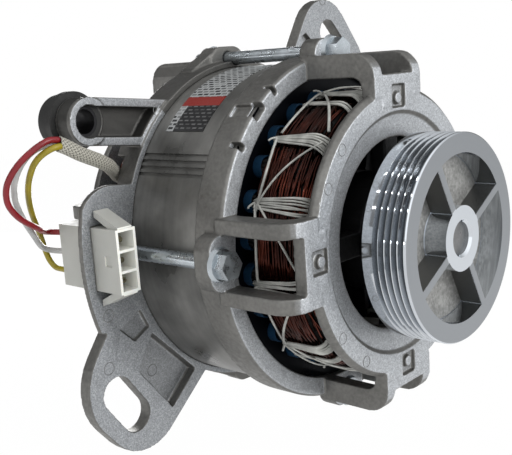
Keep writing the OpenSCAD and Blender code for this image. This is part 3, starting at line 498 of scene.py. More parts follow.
def cast_alloy(name, side, front):
    f = finish(name, side, 0.75, 0.46)
    radius, back, angle = round_the_axis(f)
    sunk, rim, trough = sunk_places(f, radius, back, angle)
    forwards = facing(f, "Y", -1)
    # Faces that look forwards and are not sunk are skimmed, and get the painted light.
    skimmed_and_lit = times(f, forwards, maths(f, "SUBTRACT", 1, sunk))
    inside = times(f, below(f, radius, HUB_RADIUS), between(f, back, *HUB_WALLS))
    both = plus(f, times(f, noise(f, 9, 5), 0.6), times(f, noise(f, 0.6, 2), 0.4))
    dull = ramp(f, both, [(0.36, shaded(side, 0.78)), (0.64, shaded(side, 1.2))])
    facets = cells(f, 0.4)
    # The painted light and sparkle, a little stronger on the front bell than on the rear bell.
    near = blasted_and_lit(f, facets, shaded(front, 1.12))
    far = blasted_and_lit(f, facets, shaded(front, 0.86))
    glint = mixed(f, above(f, back, REAR_BELL_FROM), near, far)
    # Painted shade: pocket floors and the trough get darker copies of the side colour, the trough darkest;
    # the ear faces and the rear rim are darker too.
    deep = mixed(f, times(f, sunk, forwards), dull, shaded(side, 0.8))
    deep = mixed(f, rim, deep, shaded(side, 0.7))
    deep = mixed(f, trough, deep, shaded(side, 0.42))
    open_faces = mixed(f, skimmed_and_lit, deep, glint)
    # The inside of the front bell gets the painted shade.
    to(f, "Base Color", mixed(f, inside, open_faces, HUB_SHADE))
    to(f, "Roughness", span(f, noise(f, 0.9, 2), 0.38, 0.58))
    bump(f, noise(f, 3.5, 3), 0.2, 0.3)
    bump(f, times(f, cells(f, 0.42), plus(f, skimmed_and_lit, 0.15)), 0.06, 0.45)
    return f


# The second colour is the painted light on faces that look forwards.
casting = cast_alloy("cast_alloy", (0.168, 0.165, 0.156), (0.375, 0.389, 0.405))
print("cast alloy of", len(casting["tree"].nodes), "nodes")

# %% [markdown]
# No die casting has a sharp edge: the mould's corners are rounded, and so is everything that comes
# out of it. Bevelling hundreds of edges by hand would take a day. Rebuilding the surface from
# small cubes and smoothing it a little rounds every edge and fills every corner alike, by about
# the radius that a real mould has, and leaves flat faces flat.

# %% Rounded castings


def evaluated(obj):
    """The object's mesh with its modifiers applied."""
    graph = bpy.context.evaluated_depsgraph_get()
    mesh = bpy.data.meshes.new_from_object(obj.evaluated_get(graph))
    old = obj.data
    obj.modifiers.clear()
    obj.data = mesh
    bpy.data.meshes.remove(old)
    return obj


def rounded_casting(node, cube_mm, rounds, keep):
    """A copy of a cast node with soft edges, which stands for that node."""
    mesh = nodes[node].data.copy()
    work = bmesh.new()
    work.from_mesh(mesh)
    bmesh.ops.remove_doubles(work, verts=work.verts, dist=0.002 * MM)
    work.to_mesh(mesh)
    work.free()
    obj = bpy.data.objects.new(node + "_casting", mesh)
    bpy.context.scene.collection.objects.link(obj)
    cubes = obj.modifiers.new("cubes", "REMESH")
    cubes.mode = "VOXEL"
    cubes.voxel_size = cube_mm * MM
    soft = obj.modifiers.new("soft", "SMOOTH")
    soft.factor = 0.5
    soft.iterations = rounds
    fewer = obj.modifiers.new("fewer", "DECIMATE")
    fewer.ratio = keep
    evaluated(obj)
    obj.data.shade_smooth()
    obj.data.materials.clear()
    obj.data.materials.append(casting["mat"])
    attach(obj, "housing")
    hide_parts(node)
    print(obj.name, "has", len(obj.data.polygons), "faces")


rounded_casting("front_bell", 0.38, 2, 0.2)
rounded_casting("rear_bell", 0.4, 2, 0.2)

# %% [markdown]
# The pulley is turned on a lathe, almost to a mirror in the grooves. The tool leaves rings round
# the axis, so the noise runs along the radius alone. The pockets between the spokes stay as cast,
# which the finish tells apart by the distance from the axis and from the front face. The bottoms
# of the grooves and the side walls of the pockets are darkened as painted shade.

# %% Turned aluminium
POCKET_FROM = 11.3
POCKET_TO = 28.1
GROOVES_FROM = 31
GROOVE_RADII = (33.2, 34.8)


def turned_alloy(name, colour, as_cast):
    f = finish(name, colour, 1.0, 0.2)
    radius, back, _ = round_the_axis(f)
    pocket = times(f, between(f, radius, POCKET_FROM, POCKET_TO), above(f, back, 0.2))
    face = facing(f, "Y", -1, 0.9, 0.97)
    rings = f["tree"].nodes.new("ShaderNodeTexNoise")
    rings.inputs["Scale"].default_value = 2.2
    rings.inputs["Detail"].default_value = 4
    f["tree"].links.new(joined(f, radius, back), rings.inputs["Vector"])
    groove = ramp(f, noise(f, 6, 4), [(0.3, shaded(colour, 0.92)), (0.7, shaded(colour, 1.12))])
    # Painted shade: the bottoms of the grooves, from GROOVES_FROM out to the groove radii, get a darker
    # colour.
    ridge = either(f, span(f, radius, 0, 1, *GROOVE_RADII), below(f, radius, GROOVES_FROM))
    groove = mixed(f, ridge, shaded(colour, 0.45), groove)
    plain = mixed(f, below(f, radius, POCKET_FROM), shaded(colour, 0.5), shaded(colour, 1.02))
    turned = mixed(f, face, groove, plain)
    grain = plus(f, times(f, noise(f, 0.5, 3), 0.6), times(f, noise(f, 4, 3), 0.4))
    floor_of_pocket = ramp(f, grain, [(0.36, shaded(as_cast, 0.72)), (0.64, shaded(as_cast, 1.25))])
    # Painted shade: the side walls of the pockets are darker than their floors.
    cast_with_shade = mixed(f, face, shaded(as_cast, 0.42), floor_of_pocket)
    to(f, "Base Color", mixed(f, pocket, turned, cast_with_shade))
    gloss = span(f, rings.outputs["Fac"], 0.06, 0.1)
    satin = plus(f, gloss, times(f, face, 0.28))
    to(f, "Roughness", plus(f, satin, times(f, pocket, 0.3)))
    smooth = maths(f, "SUBTRACT", 1, pocket)
    bump(f, times(f, rings.outputs["Fac"], smooth), 0.006, 0.2)
    bump(f, times(f, noise(f, 0.8, 4), pocket), 0.16, 0.6)
    return f


wear("pulley", turned_alloy("turned_alloy", (0.6, 0.63, 0.665), (0.34, 0.34, 0.33)))
wear("rotor_cage", cast_alloy("rotor_alloy", (0.14, 0.14, 0.14), (0.16, 0.16, 0.16)))
print("pulley and rotor cage finished")

# %% [markdown]
# The stator is a pile of half-millimetre steel sheets. Its outside has been ground and varnished,
# so the sheets are only just felt as lines square to the axis. Its two ends, the faces that look
# along the axis, are coloured nearly black.

# %% Laminated steel


def laminations(name, colour, ends):
    f = finish(name, colour, 0.45, 0.36)
    f["shader"].inputs["Specular IOR Level"].default_value = 0.1
    sheets = noise(f, 40, 2, stretch=(0.4, 50, 0.4))
    stain = noise(f, 11, 5)
    blend = plus(f, times(f, sheets, 0.1), times(f, stain, 0.9))
    shades = [(0.34, 0.55), (0.5, 0.95), (0.66, 1.5)]
    side = ramp(f, blend, [(place, shaded(colour, factor)) for place, factor in shades])
    # The faces that look along the axis get the ends' colour.
    end = either(f, facing(f, "Y", -1), facing(f, "Y", 1))
    to(f, "Base Color", mixed(f, end, side, ends))
    to(f, "Roughness", span(f, stain, 0.22, 0.5))
    bump(f, sheets, 0.015, 0.3)
    bump(f, noise(f, 0.7, 2), 0.02, 0.3)
    return f


wear("stator_core", laminations("lamination", (0.17, 0.168, 0.16), (0.0015, 0.002, 0.0035)))
wear("rotor_core", laminations("rotor_lamination", (0.1, 0.1, 0.1), (0.03, 0.03, 0.03)))
print("stator and rotor stacks finished")

# %% [markdown]
# The small parts need a finish each, but not a study each: zinc with a blue cast and drawing
# marks, ground bearing steel, rubber with a matt bloom, moulded nylon that lets a little light in,
# and the blue film that lines the slots.

# %% Small parts
# Where the connector's cavities lie: millimetres of radius, and millimetres over the axis
CAVITY_RADII = (69.9, 76.6)
CAVITY_HEIGHTS = (-18, 2.7)
NYLON_ROUGHNESS = 0.42


def plated(name, colour, roughness):
    f = finish(name, colour, 0.95, roughness)
    cloud = noise(f, 2.5, 4)
    tinted(f, cloud, 0.8, 1.14)
    to(f, "Roughness", span(f, noise(f, 1.2, 3), roughness * 0.75, roughness * 1.4))
    bump(f, cloud, 0.04, 0.4)
    return f


def rubber(name, colour):
    f = finish(name, colour, 0, 0.7)
    tinted(f, noise(f, 5, 5), 0.7, 1.35)
    to(f, "Roughness", span(f, noise(f, 3, 4), 0.55, 0.85))
    bump(f, noise(f, 0.8, 3), 0.05, 0.5)
    return f


def moulded(name, colour):
    f = finish(name, colour, 0, NYLON_ROUGHNESS)
    f["shader"].inputs["Subsurface Weight"].default_value = 0.12
    f["shader"].inputs["Subsurface Radius"].default_value = (0.002, 0.0016, 0.0012)
    radius, _, angle = round_the_axis(f)
    up = times(f, radius, maths(f, "SINE", times(f, angle, math.pi / 180)))
    hollow = times(f, between(f, radius, *CAVITY_RADII), between(f, up, *CAVITY_HEIGHTS))
    side = ramp(f, noise(f, 7, 4), [(0.3, shaded(colour, 0.93)), (0.7, shaded(colour, 1.05))])
    # Painted light: the insides of the cavities get a much lighter copy of the colour.
    side = mixed(f, hollow, side, shaded(colour, 1.9))
    # Painted light: faces that look forwards get a lighter copy of the colour.
    to(f, "Base Color", mixed(f, facing(f, "Y", -1), side, shaded(colour, 2.1)))
    to(f, "Roughness", span(f, noise(f, 2, 3), NYLON_ROUGHNESS * 0.85, NYLON_ROUGHNESS * 1.2))
    bump(f, noise(f, 0.9, 2), 0.02, 0.35)
    return f


def film(name, colour):
    f = finish(name, colour, 0, 0.4)
    tinted(f, noise(f, 4, 3), 0.75, 1.2)
    bump(f, noise(f, 1.5, 2), 0.05, 0.3)
    return f


zinc = plated("zinc_steel", (0.48, 0.52, 0.55), 0.28)
ground = plated("bearing_steel", (0.56, 0.56, 0.57), 0.2)
cage_metal = plated("cage_steel", (0.5, 0.4, 0.2), 0.32)
tin = plated("terminal_tin", (0.2, 0.18, 0.12), 0.3)
for part in ("through_bolts", "flange_nuts"):
    wear(part, zinc)
wear("pivot_sleeve", plated("sleeve_steel", (0.03, 0.03, 0.032), 0.5))
for part in nodes:
    if "bearing" in part or part == "wave_washer":
        wear(part, cage_metal if part.endswith("cage") else ground)
wear("shaft", plated("shaft_steel", (0.2, 0.2, 0.2), 0.34))
wear("pivot_bush", rubber("bush_rubber", (0.015, 0.015, 0.0145)))
wear("connector_housing", moulded("connector_nylon", (0.43, 0.43, 0.4)))
wear("connector_terminals", tin)
# The liners' blue is darkened as painted shade, for their place deep in the slots.
wear("slot_liners", film("liner_film", (0.006, 0.03, 0.065)))
wear("slot_wedges", film("wedge_film", (0.2, 0.18, 0.14)))
print("small parts finished")

# %% [markdown]
# Cords are swept along listed points. The curve between them runs through every point, so
# the cord stays on its route, and a frame that is carried along without twist keeps its section
# from spinning. Doing this on arrays keeps hundreds of strands quick.

# %% Helpers for swept pieces


def smooth_line(points, per_span):
    """Points on a curve of cubic pieces that runs through the given ones."""
    p = np.array([tuple(q) for q in points])
    p = np.vstack([2 * p[0] - p[1], p, 2 * p[-1] - p[-2]])
    t = np.linspace(0, 1, per_span, endpoint=False)[:, None]
    spans = []
    for a, b, c, d in zip(p[:-3], p[1:-2], p[2:-1], p[3:]):
        spans.append(0.5 * (2 * b + (c - a) * t + (2 * a - 5 * b + 4 * c - d) * t ** 2
                            + (3 * b - a - 3 * c + d) * t ** 3))
    return np.vstack(spans + [p[-2:-1]])


def line_length(line):
    return float(np.linalg.norm(np.diff(line, axis=0), axis=1).sum())


def carried_frames(line, up=(0, 0.3, 1)):
    """Tangent, side and upper directions along a line, carried without twist."""
    tangent = np.gradient(line, axis=0)
    tangent /= np.linalg.norm(tangent, axis=1)[:, None]
    upper = np.zeros_like(line)
    last = np.array(up, float)
    for i, t in enumerate(tangent):
        last = last - last.dot(t) * t
        last /= np.linalg.norm(last)
        upper[i] = last
    return tangent, np.cross(tangent, upper), upper


def swept(line, ring, closed_ends=True, up=(0, 0.3, 1)):
    """Vertices and faces of a tube: ring gives (side, upper) offsets, alike or one per point."""
    _, side, upper = carried_frames(line, up)
    ring = np.asarray(ring, float)
    if ring.ndim == 2:
        ring = np.repeat(ring[None], len(line), axis=0)
    count = ring.shape[1]
    verts = line[:, None] + ring[:, :, :1] * side[:, None] + ring[:, :, 1:] * upper[:, None]
    i, k = np.meshgrid(np.arange(len(line) - 1), np.arange(count), indexing="ij")
    a = i * count + k
    b = i * count + (k + 1) % count
    faces = np.stack([a, b, b + count, a + count], axis=-1).reshape(-1, 4).tolist()
    if closed_ends:
        faces.append(list(range(count))[::-1])
        faces.append([(len(line) - 1) * count + k for k in range(count)])
    return verts.reshape(-1, 3), faces


def circle(radius_mm, sides, wide=1.0, high=1.0):
    a = np.linspace(0, 2 * np.pi, sides, endpoint=False)
    return np.stack([np.cos(a) * wide, np.sin(a) * high], axis=1) * radius_mm * MM


def piece(name, parts, f, body, smooth=True):
    """One object from lists of (vertices, faces), with a finish, riding on a body."""
    verts, faces, start = [], [], 0
    for v, fs in parts:
        verts.append(v)
        faces.extend([[k + start for k in face] for face in fs])
        start += len(v)
    mesh = bpy.data.meshes.new(name)
    mesh.from_pydata(np.vstack(verts).tolist(), [], faces)
    mesh.update()
    if smooth:
        mesh.shade_smooth()
    obj = bpy.data.objects.new(name, mesh)
    bpy.context.scene.collection.objects.link(obj)
    if f is not None:
        obj.data.materials.append(f["mat"])
    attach(obj, body)
    return obj


print("sweep helpers ready")

# %% [markdown]
# The leads are silicone, soft and a little glossy. They leave the woven sleeve together, swing out
# to the left and drop behind the connector, where they go into its rear. Their routes are written
# point by point, as a harness drawing would be.

# %% Routes of the sleeve and the leads
sleeve_route = [
    (-47.1, 113.6, 16.7), (-50.2, 113.5, 17.9), (-52.6, 112.8, 18.8), (-54.6, 111.2, 19.5),
    (-56.6, 109.2, 20.3), (-58.8, 107.4, 21), (-61.4, 105.2, 21.7), (-63.8, 102.8, 22.4),
    (-66.4, 100.6, 23.2), (-69.4, 98.9, 24.1), (-73, 97.7, 25.2), (-77, 96.9, 26.3),
    (-81, 96.3, 27.5), (-84.2, 95.9, 28.7), (-87, 95.9, 29.9), (-90, 96, 31),
]
red_route = [
    (-90, 96, 32.3), (-93.5, 95.8, 32.2), (-96.5, 96.2, 30.9), (-99, 97.5, 28.8),
    (-101, 99.2, 26.4), (-102.5, 101, 23.8), (-103.5, 102.8, 21), (-104, 104.4, 18),
    (-103.6, 105.8, 15), (-102.4, 107, 12), (-100.2, 108.2, 9.4), (-97, 109.4, 6.8),
    (-93.2, 110.4, 4.6), (-89.4, 111.8, 2.9), (-86, 114, 1.6), (-83.2, 116.5, 0.6),
    (-80.4, 118.6, -0.1), (-77.6, 119.5, -0.5), (-75, 118.5, -0.7), (-73.6, 116, -0.7),
    (-73.5, 110, -0.7),
]
white_route = [
    (-90, 97.2, 30.3), (-93.2, 98.4, 30.4), (-95.6, 100.2, 29.3), (-97.2, 102.2, 27.4),
    (-98.4, 104, 24.9), (-99, 105.8, 22), (-99.2, 107.4, 18.8), (-98.6, 109, 15.6),
    (-97.2, 110.6, 12.2), (-95, 112.2, 8.8), (-92.2, 113.8, 5.2), (-88.8, 115.6, 1.6),
    (-85.4, 117.6, -1.6), (-82.4, 119.8, -4.2), (-79.6, 121.7, -6), (-76.6, 122.3, -7.2),
    (-74.1, 120.9, -7.7), (-72.9, 118, -7.7), (-72.8, 110, -7.7),
]
yellow_route = [
    (-90, 94.8, 30.3), (-92.6, 94.8, 29.8), (-94.6, 96, 28.6), (-95.8, 98.2, 26.8),
    (-96.2, 100.8, 24.4), (-95.8, 103.4, 21.6), (-94.8, 106.2, 18.6), (-93.4, 108.8, 15.4),
    (-91.5, 111.5, 12.4), (-89, 114.4, 9), (-86.2, 117.2, 5.6), (-83, 120, 2),
    (-79.8, 122.8, -1.6), (-77, 125.2, -5.2), (-74.8, 126.8, -8.8), (-73.2, 126.8, -12),
    (-72.3, 124.8, -14.2), (-72.1, 121.6, -14.6), (-72.1, 110, -14.6),
]
LEAD = 2.1


def silicone(name, colour):
    f = finish(name, colour, 0, 0.36)
    f["shader"].inputs["Coat Weight"].default_value = 0.1
    tinted(f, noise(f, 3, 4), 0.82, 1.12)
    to(f, "Roughness", span(f, noise(f, 1.5, 3), 0.3, 0.5))
    bump(f, noise(f, 1.1, 2), 0.03, 0.35)
    return f


def lead(name, route, colour):
    line = smooth_line([at(*p) for p in route], 6)
    f = silicone(name, colour)
    obj = piece(name + "_insulation", [swept(line, circle(LEAD / 2, 20))], f, "housing")
    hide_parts(name)
    print(name, "is", round(line_length(line) * 1000, 1), "mm long")


lead("lead_red", red_route, (0.2, 0.003, 0.008))
lead("lead_white", white_route, (0.42, 0.42, 0.41))
lead("lead_yellow", yellow_route, (0.28, 0.22, 0.006))

# %% [markdown]
# The sleeve is braided from flat bands of glass fibre. Two sets of bands run round it in opposite
# directions, and each goes over and under the other, which is what makes the herringbone. Here the
# height of the surface is worked out from both sets at once, so the weave is real geometry; the
# same height also darkens the low places between the bands, as painted shade. At its open end the
# sleeve is pressed flat and its mouth is hollow, with its inside painted dark as shade.

# %% Woven sleeve
SLEEVE = 5.0
BANDS = 11
BAND_RISE = 1.45
WEAVE = 0.3
PRESSED = 9
SLEEVE_STEPS = 22
SLEEVE_SIDES = 110
MOUTH_RINGS = 40
MOUTH_SHARE = 0.84


def weave_height(along_mm, around):
    """Height of the braid, 0 to 1, from the way along and the angle round the sleeve."""
    turn = math.pi * along_mm / BAND_RISE
    left = around * BANDS / 2 + turn
    right = around * BANDS / 2 - turn
    over = 0.5 + 0.5 * np.tanh(4 * np.sin(left) * np.sin(right))
    ridges = over * np.abs(np.cos(left)) + (1 - over) * np.abs(np.cos(right))
    return ridges ** 0.7


def braided_tube(line, around_count):
    """Rings of the sleeve's section, and the height of the braid at each of their points."""
    gaps = np.linalg.norm(np.diff(line, axis=0), axis=1)
    along = np.concatenate([[0], np.cumsum(gaps)]) * 1000
    total = along[-1]
    angle = np.linspace(0, 2 * np.pi, around_count, endpoint=False)
    flat = np.clip((along - (total - PRESSED)) / PRESSED, 0, 1) ** 1.5
    rings = []
    heights = []
    for s, q in zip(along, flat):
        heights.append(weave_height(s, angle))
        radius = SLEEVE / 2 - WEAVE + WEAVE * heights[-1]
        wide = 1 + 0.12 * q
        high = 1 - 0.3 * q
        ring = [np.cos(angle) * radius * high, np.sin(angle) * radius * wide]
        rings.append(np.stack(ring, axis=1) * MM)
    return np.array(rings), np.array(heights)


def woven_sleeve():
    """The sleeve's middle line, its outer and inner side as one mesh, and the braid's heights."""
    line = smooth_line([at(*p) for p in sleeve_route], SLEEVE_STEPS)
    rings, heights = braided_tube(line, SLEEVE_SIDES)
    outer = swept(line, rings, closed_ends=False)
    inner = swept(line[-MOUTH_RINGS:], rings[-MOUTH_RINGS:] * MOUTH_SHARE, closed_ends=False)
    inner = (inner[0], [face[::-1] for face in inner[1]])
    count = rings.shape[1]
    rim_a = (len(line) - 1) * count
    rim_b = len(outer[0]) + (MOUTH_RINGS - 1) * count
    verts = np.vstack([outer[0], inner[0]])
    faces = outer[1] + [[k + len(outer[0]) for k in face] for face in inner[1]]
    for k in range(count):
        n = (k + 1) % count
        faces.append([rim_a + k, rim_a + n, rim_b + n, rim_b + k])
    faces.append(list(range(count))[::-1])
    faces.append([len(outer[0]) + k for k in range(count)])
    # Low heights paint the inside of the mouth dark, as painted shade.
    inner_heights = 0.2 * heights[-MOUTH_RINGS:]
    return line, (verts, faces), np.concatenate([heights.ravel(), inner_heights.ravel()])


def glass_braid():
    f = finish("glass_braid", (0.37, 0.355, 0.3), 0, 0.6)
    f["shader"].inputs["Sheen Weight"].default_value = 0.2
    depth = f["tree"].nodes.new("ShaderNodeAttribute")
    depth.attribute_name = "weave"
    # Painted shade: the lower a place of the braid, the darker its colour.
    tinted(f, depth.outputs["Fac"], 0.22, 1.1, 0.35, 0.95)
    bump(f, noise(f, 0.25, 3), 0.06, 0.5)
    return f


sleeve_line, sleeve_mesh, sleeve_heights = woven_sleeve()
sleeve = piece("braided_sleeve", [sleeve_mesh], glass_braid(), "housing")
sleeve.data.attributes.new("weave", "FLOAT", "POINT").data.foreach_set("value", sleeve_heights)
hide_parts("wire_sleeve")
print("sleeve is", round(line_length(sleeve_line) * 1000, 1), "mm long")

# %% [markdown]
# A coil of the winding leaves one slot, swings round the end of the stack and goes down into
# another slot a few places on. Every strand is drawn like that, at its own place on the outline of
# the bundle, with a little wander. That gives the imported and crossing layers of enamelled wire
# which a smooth ring never has. Where a tie goes round the bundle, the strands are pulled in.

# %% Strands of the end windings
WIRE = 0.9
SLOTS = 24
BUNDLE_OUT = 49.6
BUNDLE_IN = 38.2
TIES = 12
FIRST_TIE = 18
BUNDLE_CORNER = 4.6
STRAND_PLACES = 32
STRANDS_PER_PLACE = 9
STRAND_STEPS = 18
STRAND_DRIFT = 0.18
STRAND_WANDER = 0.2
SLOT_TOP = 41
SLOT_REACH = 6
PINCH_IN = 0.9
PINCH_BACK = 1.0
random = np.random.default_rng(7)


def bundle_outline(share, near, far):
    """Radius and depth at a share of the way over the outside, the corner and the end face."""
    corner = BUNDLE_CORNER
    out = BUNDLE_OUT - WIRE / 2
    straight = far - near - corner
    face = out - corner - BUNDLE_IN
    length = share * (straight + corner * math.pi / 2 + face)
    if length < straight:
        return out, near + length
    if length < straight + corner * math.pi / 2:
        turn = (length - straight) / corner
        return out - corner + corner * math.cos(turn), far - corner + corner * math.sin(turn)
    return out - corner - (length - straight - corner * math.pi / 2), far


def coil_strand(first, span_slots, share, outline, stack_y, way):
    """One wire from a slot, round the end of the stack and into another slot."""
    u = np.linspace(0, 1, STRAND_STEPS)
    ease = 0.5 - 0.5 * np.cos(np.pi * np.clip((u - 0.08) / 0.84, 0, 1))
    angle = (first + span_slots * ease) * 360 / SLOTS
    lift = np.sin(np.pi * u) ** 0.3
    drift = random.normal(0, STRAND_DRIFT)
    wander = random.normal(0, STRAND_WANDER, 4)
    slot_r = SLOT_TOP + SLOT_REACH * random.random()
    points = []
    for v, a, up in zip(u, angle, lift):
        r, d = bundle_outline(min(0.995, max(0.005, share + drift * (v - 0.5))), *outline)
        pinch = (0.5 + 0.5 * math.cos(math.radians(TIES * (a - FIRST_TIE)))) ** 3
        r = slot_r + (r - slot_r) * up + wander[0] * math.sin(9 * v + 9 * wander[1]) - PINCH_IN * pinch
        d = up * d + wander[2] * math.sin(11 * v + 9 * wander[3]) - PINCH_BACK * pinch
        r = min(r, BUNDLE_OUT - WIRE / 2)
        points.append(tuple(round_axis(r, stack_y + way * min(d, outline[1]), a)))
    return np.array(points)


def bundle_strands(stack_y, way, near, far):
    """Tubes for all strands of one end, between two depths from the stack's face."""
    tubes = []
    for n in range(STRAND_PLACES):
        for k in range(STRANDS_PER_PLACE):
            span_slots = (4, 6, 5)[(n + k) % 3]
            first = round(k * SLOTS / STRANDS_PER_PLACE + n * 1.7 + random.random() * 0.5)
            share = (n + random.random()) / STRAND_PLACES
            strand = coil_strand(first, span_slots, share, (near, far - WIRE / 2), stack_y, way)
            tubes.append(swept(strand, circle(WIRE / 2, 6)))
    return tubes


print(STRAND_PLACES * STRANDS_PER_PLACE, "strands for each end")

# %% [markdown]
# The middle of a bundle and the wires in the slots are only seen through gaps. A dark ring, turned
# from a small outline, and straight wires are enough there, and spare hundreds of curved tubes.
# Their nearly black colour is painted shade.

# %% Middle of the bundle, and wires in the slots
SLOT_WIRE = 1.7
SLOT_WIRE_RADII = (38.6, 48.4)
HALF_TOOTH = 3.4
FRONT_OUT = 8.5
REAR_OUT = 5


def ring_core(stack_y, way, near, far):
    """The middle of the bundle, nearly black as painted shade, turned from a small outline."""
    inner = BUNDLE_IN + 0.9
    outer = BUNDLE_OUT - 2.1
    end = far - 2.2
    outline = [(inner, near), (outer, near), (outer, far - 4.6), (BUNDLE_OUT - 5.2, end), (inner, end)]
    count = 96
    verts = np.array([tuple(round_axis(r, stack_y + way * d, 360 * i / count))
                      for i in range(count) for r, d in outline])
    n = len(outline)
    faces = [[i * n + k, i * n + (k + 1) % n, (i + 1) % count * n + (k + 1) % n, (i + 1) % count * n + k]
             for i in range(count) for k in range(n)]
    return verts, faces


def end_winding(name, node_names, stack_y, way, near, far):
    """All strands of one end, as one piece."""
    tubes = bundle_strands(stack_y, way, near, far)
    obj = piece(name, tubes, copper, "housing")
    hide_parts(node_names[1])
    core = piece(name + "_core", [ring_core(stack_y, way, near, far)], copper_in_shade, "housing", smooth=False)
    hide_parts(node_names[0])
    print(name, "has", len(tubes), "strands and", len(obj.data.polygons), "faces")


def slot_wires():
    """Straight wires through every slot, from one bundle to the other."""
    tubes = []
    ring = circle(SLOT_WIRE / 2, 6)
    pitch = SLOT_WIRE + 0.05
    for slot in range(SLOTS):
        for radius in np.arange(*SLOT_WIRE_RADII, pitch):
            room = radius * math.sin(math.pi / SLOTS) - HALF_TOOTH
            for k in (-1, 0, 1):
                if abs(k) * pitch > room:
                    continue
                a = slot * 360 / SLOTS + math.degrees(k * pitch / radius) + random.normal(0, 0.15)
                front_end = round_axis(radius, front_face - FRONT_OUT, a)
                rear_end = round_axis(radius, rear_face + REAR_OUT, a)
                line = np.array([tuple(front_end), tuple(rear_end)])
                tubes.append(swept(line, ring, up=(1, 0, 0.1)))
    obj = piece("slot_wires", tubes, copper_in_shade, "housing")
    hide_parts("slot_conductors")
    print(obj.name, "has", len(tubes), "wires")


print("slot wires between the radii", SLOT_WIRE_RADII)

# %% [markdown]
# Enamelled wire is copper under a thin clear lacquer, so its finish is a dark red metal with a
# glossy coat. The shade drifts in broad patches, because the varnish of the dip lies thicker in
# some places, and the lightest patches are also painted glints. The same finish without metal and
# coat, nearly black, is the copper deep inside: its colour is painted shade.

# %% Enamelled copper, and the windings in place
BUNDLE_FROM = 4.4
BUNDLE_PROUD = 0.9


def enamel(name, colour, metallic, coat, roughness):
    f = finish(name, colour, metallic, roughness)
    f["shader"].inputs["Coat Weight"].default_value = coat
    f["shader"].inputs["Coat Roughness"].default_value = 0.05
    f["shader"].inputs["Coat Tint"].default_value = (1, 0.75, 0.6, 1)
    # The lightest patches are partly painted glints, partly thicker varnish.
    shades = [(0.36, shaded(colour, 0.4)), (0.5, colour), (0.64, shaded(colour, 2.4))]
    to(f, "Base Color", ramp(f, noise(f, 8, 3), shades))
    to(f, "Roughness", span(f, noise(f, 2, 3), roughness * 0.75, roughness * 1.4))
    bump(f, noise(f, 0.8, 2), 0.015, 0.25)
    return f


copper = enamel("enamelled_copper", (0.036, 0.0072, 0.0035), 1.0, 0.2, 0.14)
# Nearly black: painted shade for the copper deep in the bundles and slots.
copper_in_shade = enamel("copper_in_painted_shade", (0.002, 0.001, 0.001), 0, 0, 0.7)
front_face = (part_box("stator_core")[0][1] - face_y) / MM
rear_face = (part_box("stator_core")[1][1] - face_y) / MM
front_reach = front_face - (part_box("front_coil_bundle")[0][1] - face_y) / MM
rear_reach = (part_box("rear_coil_bundle")[1][1] - face_y) / MM - rear_face
print("stack from", round(front_face, 2), "to", round(rear_face, 2))
for end, face, way, reach in (("front", front_face, -1, front_reach), ("rear", rear_face, 1, rear_reach)):
    covered = [end + "_coil_bundle", end + "_winding"]
    end_winding(end + "_strands", covered, face, way, BUNDLE_FROM, reach + BUNDLE_PROUD)
slot_wires()

# %% [markdown]
# The bundle is laced with a white cord before it is varnished. At each tie the cord goes
# round a few times side by side, pulled together into a knot on the stator's side, and every
# other tie has a smaller one beside it. From knot to knot one run lies along the outside, and
# another climbs from a knot to the next tie's corner.

# %% Lacing
CORD = 0.85
TIE_ROUNDS = 8
ROUND_PITCH = 0.95
SECOND_TIE_AT = 0.36
SECOND_TIE_ROUNDS = 3
LACING_FROM = 4.2


def loop_outline(r0, r1, d0, d1, corner):
    """A rounded rectangle of radius and depth, as a closed round of points."""
    points = []
    corners = ((r1 - 1, d0 + 1, 1, -90), (r1 - corner, d1 - corner, corner, 0),
               (r0 + 1, d1 - 1, 1, 90), (r0 + 1, d0 + 1, 1, 180))
    for r, d, size, start in corners:
        for t in np.radians(np.linspace(start, start + 90, 6)):
            points.append((r + size * math.cos(t), d + size * math.sin(t)))
    return points + points[:1]


def tied_loop(outline, angle, offset, skew, stack_y, way):
    """The outline as points at an angle, set off to one side, closer together at the knot."""
    a = math.radians(angle)
    near = outline[0][1]
    far = max(d for r, d in outline)
    line = []
    for r, d in outline:
        t = offset * (0.35 + 0.65 * (d - near) / (far - near)) + skew * (r - 44) / 6
        right = r * math.cos(a) - t * math.sin(a)
        up = r * math.sin(a) + t * math.cos(a)
        line.append(tuple(at(right, stack_y + way * d, up)))
    return np.array(line)


def cord_run(start, end, angle, turn, bulge, stack_y, way):
    """One run of cord between two places given as radius and depth, over a turn in degrees."""
    u = np.linspace(0, 1, 12)
    wave = np.sin(np.pi * u)
    radius = start[0] + (end[0] - start[0]) * u + bulge[0] * wave
    depth = start[1] + (end[1] - start[1]) * u + bulge[1] * wave
    return np.array([tuple(round_axis(r, stack_y + way * d, angle + turn * v))
                     for r, d, v in zip(radius, depth, u)])


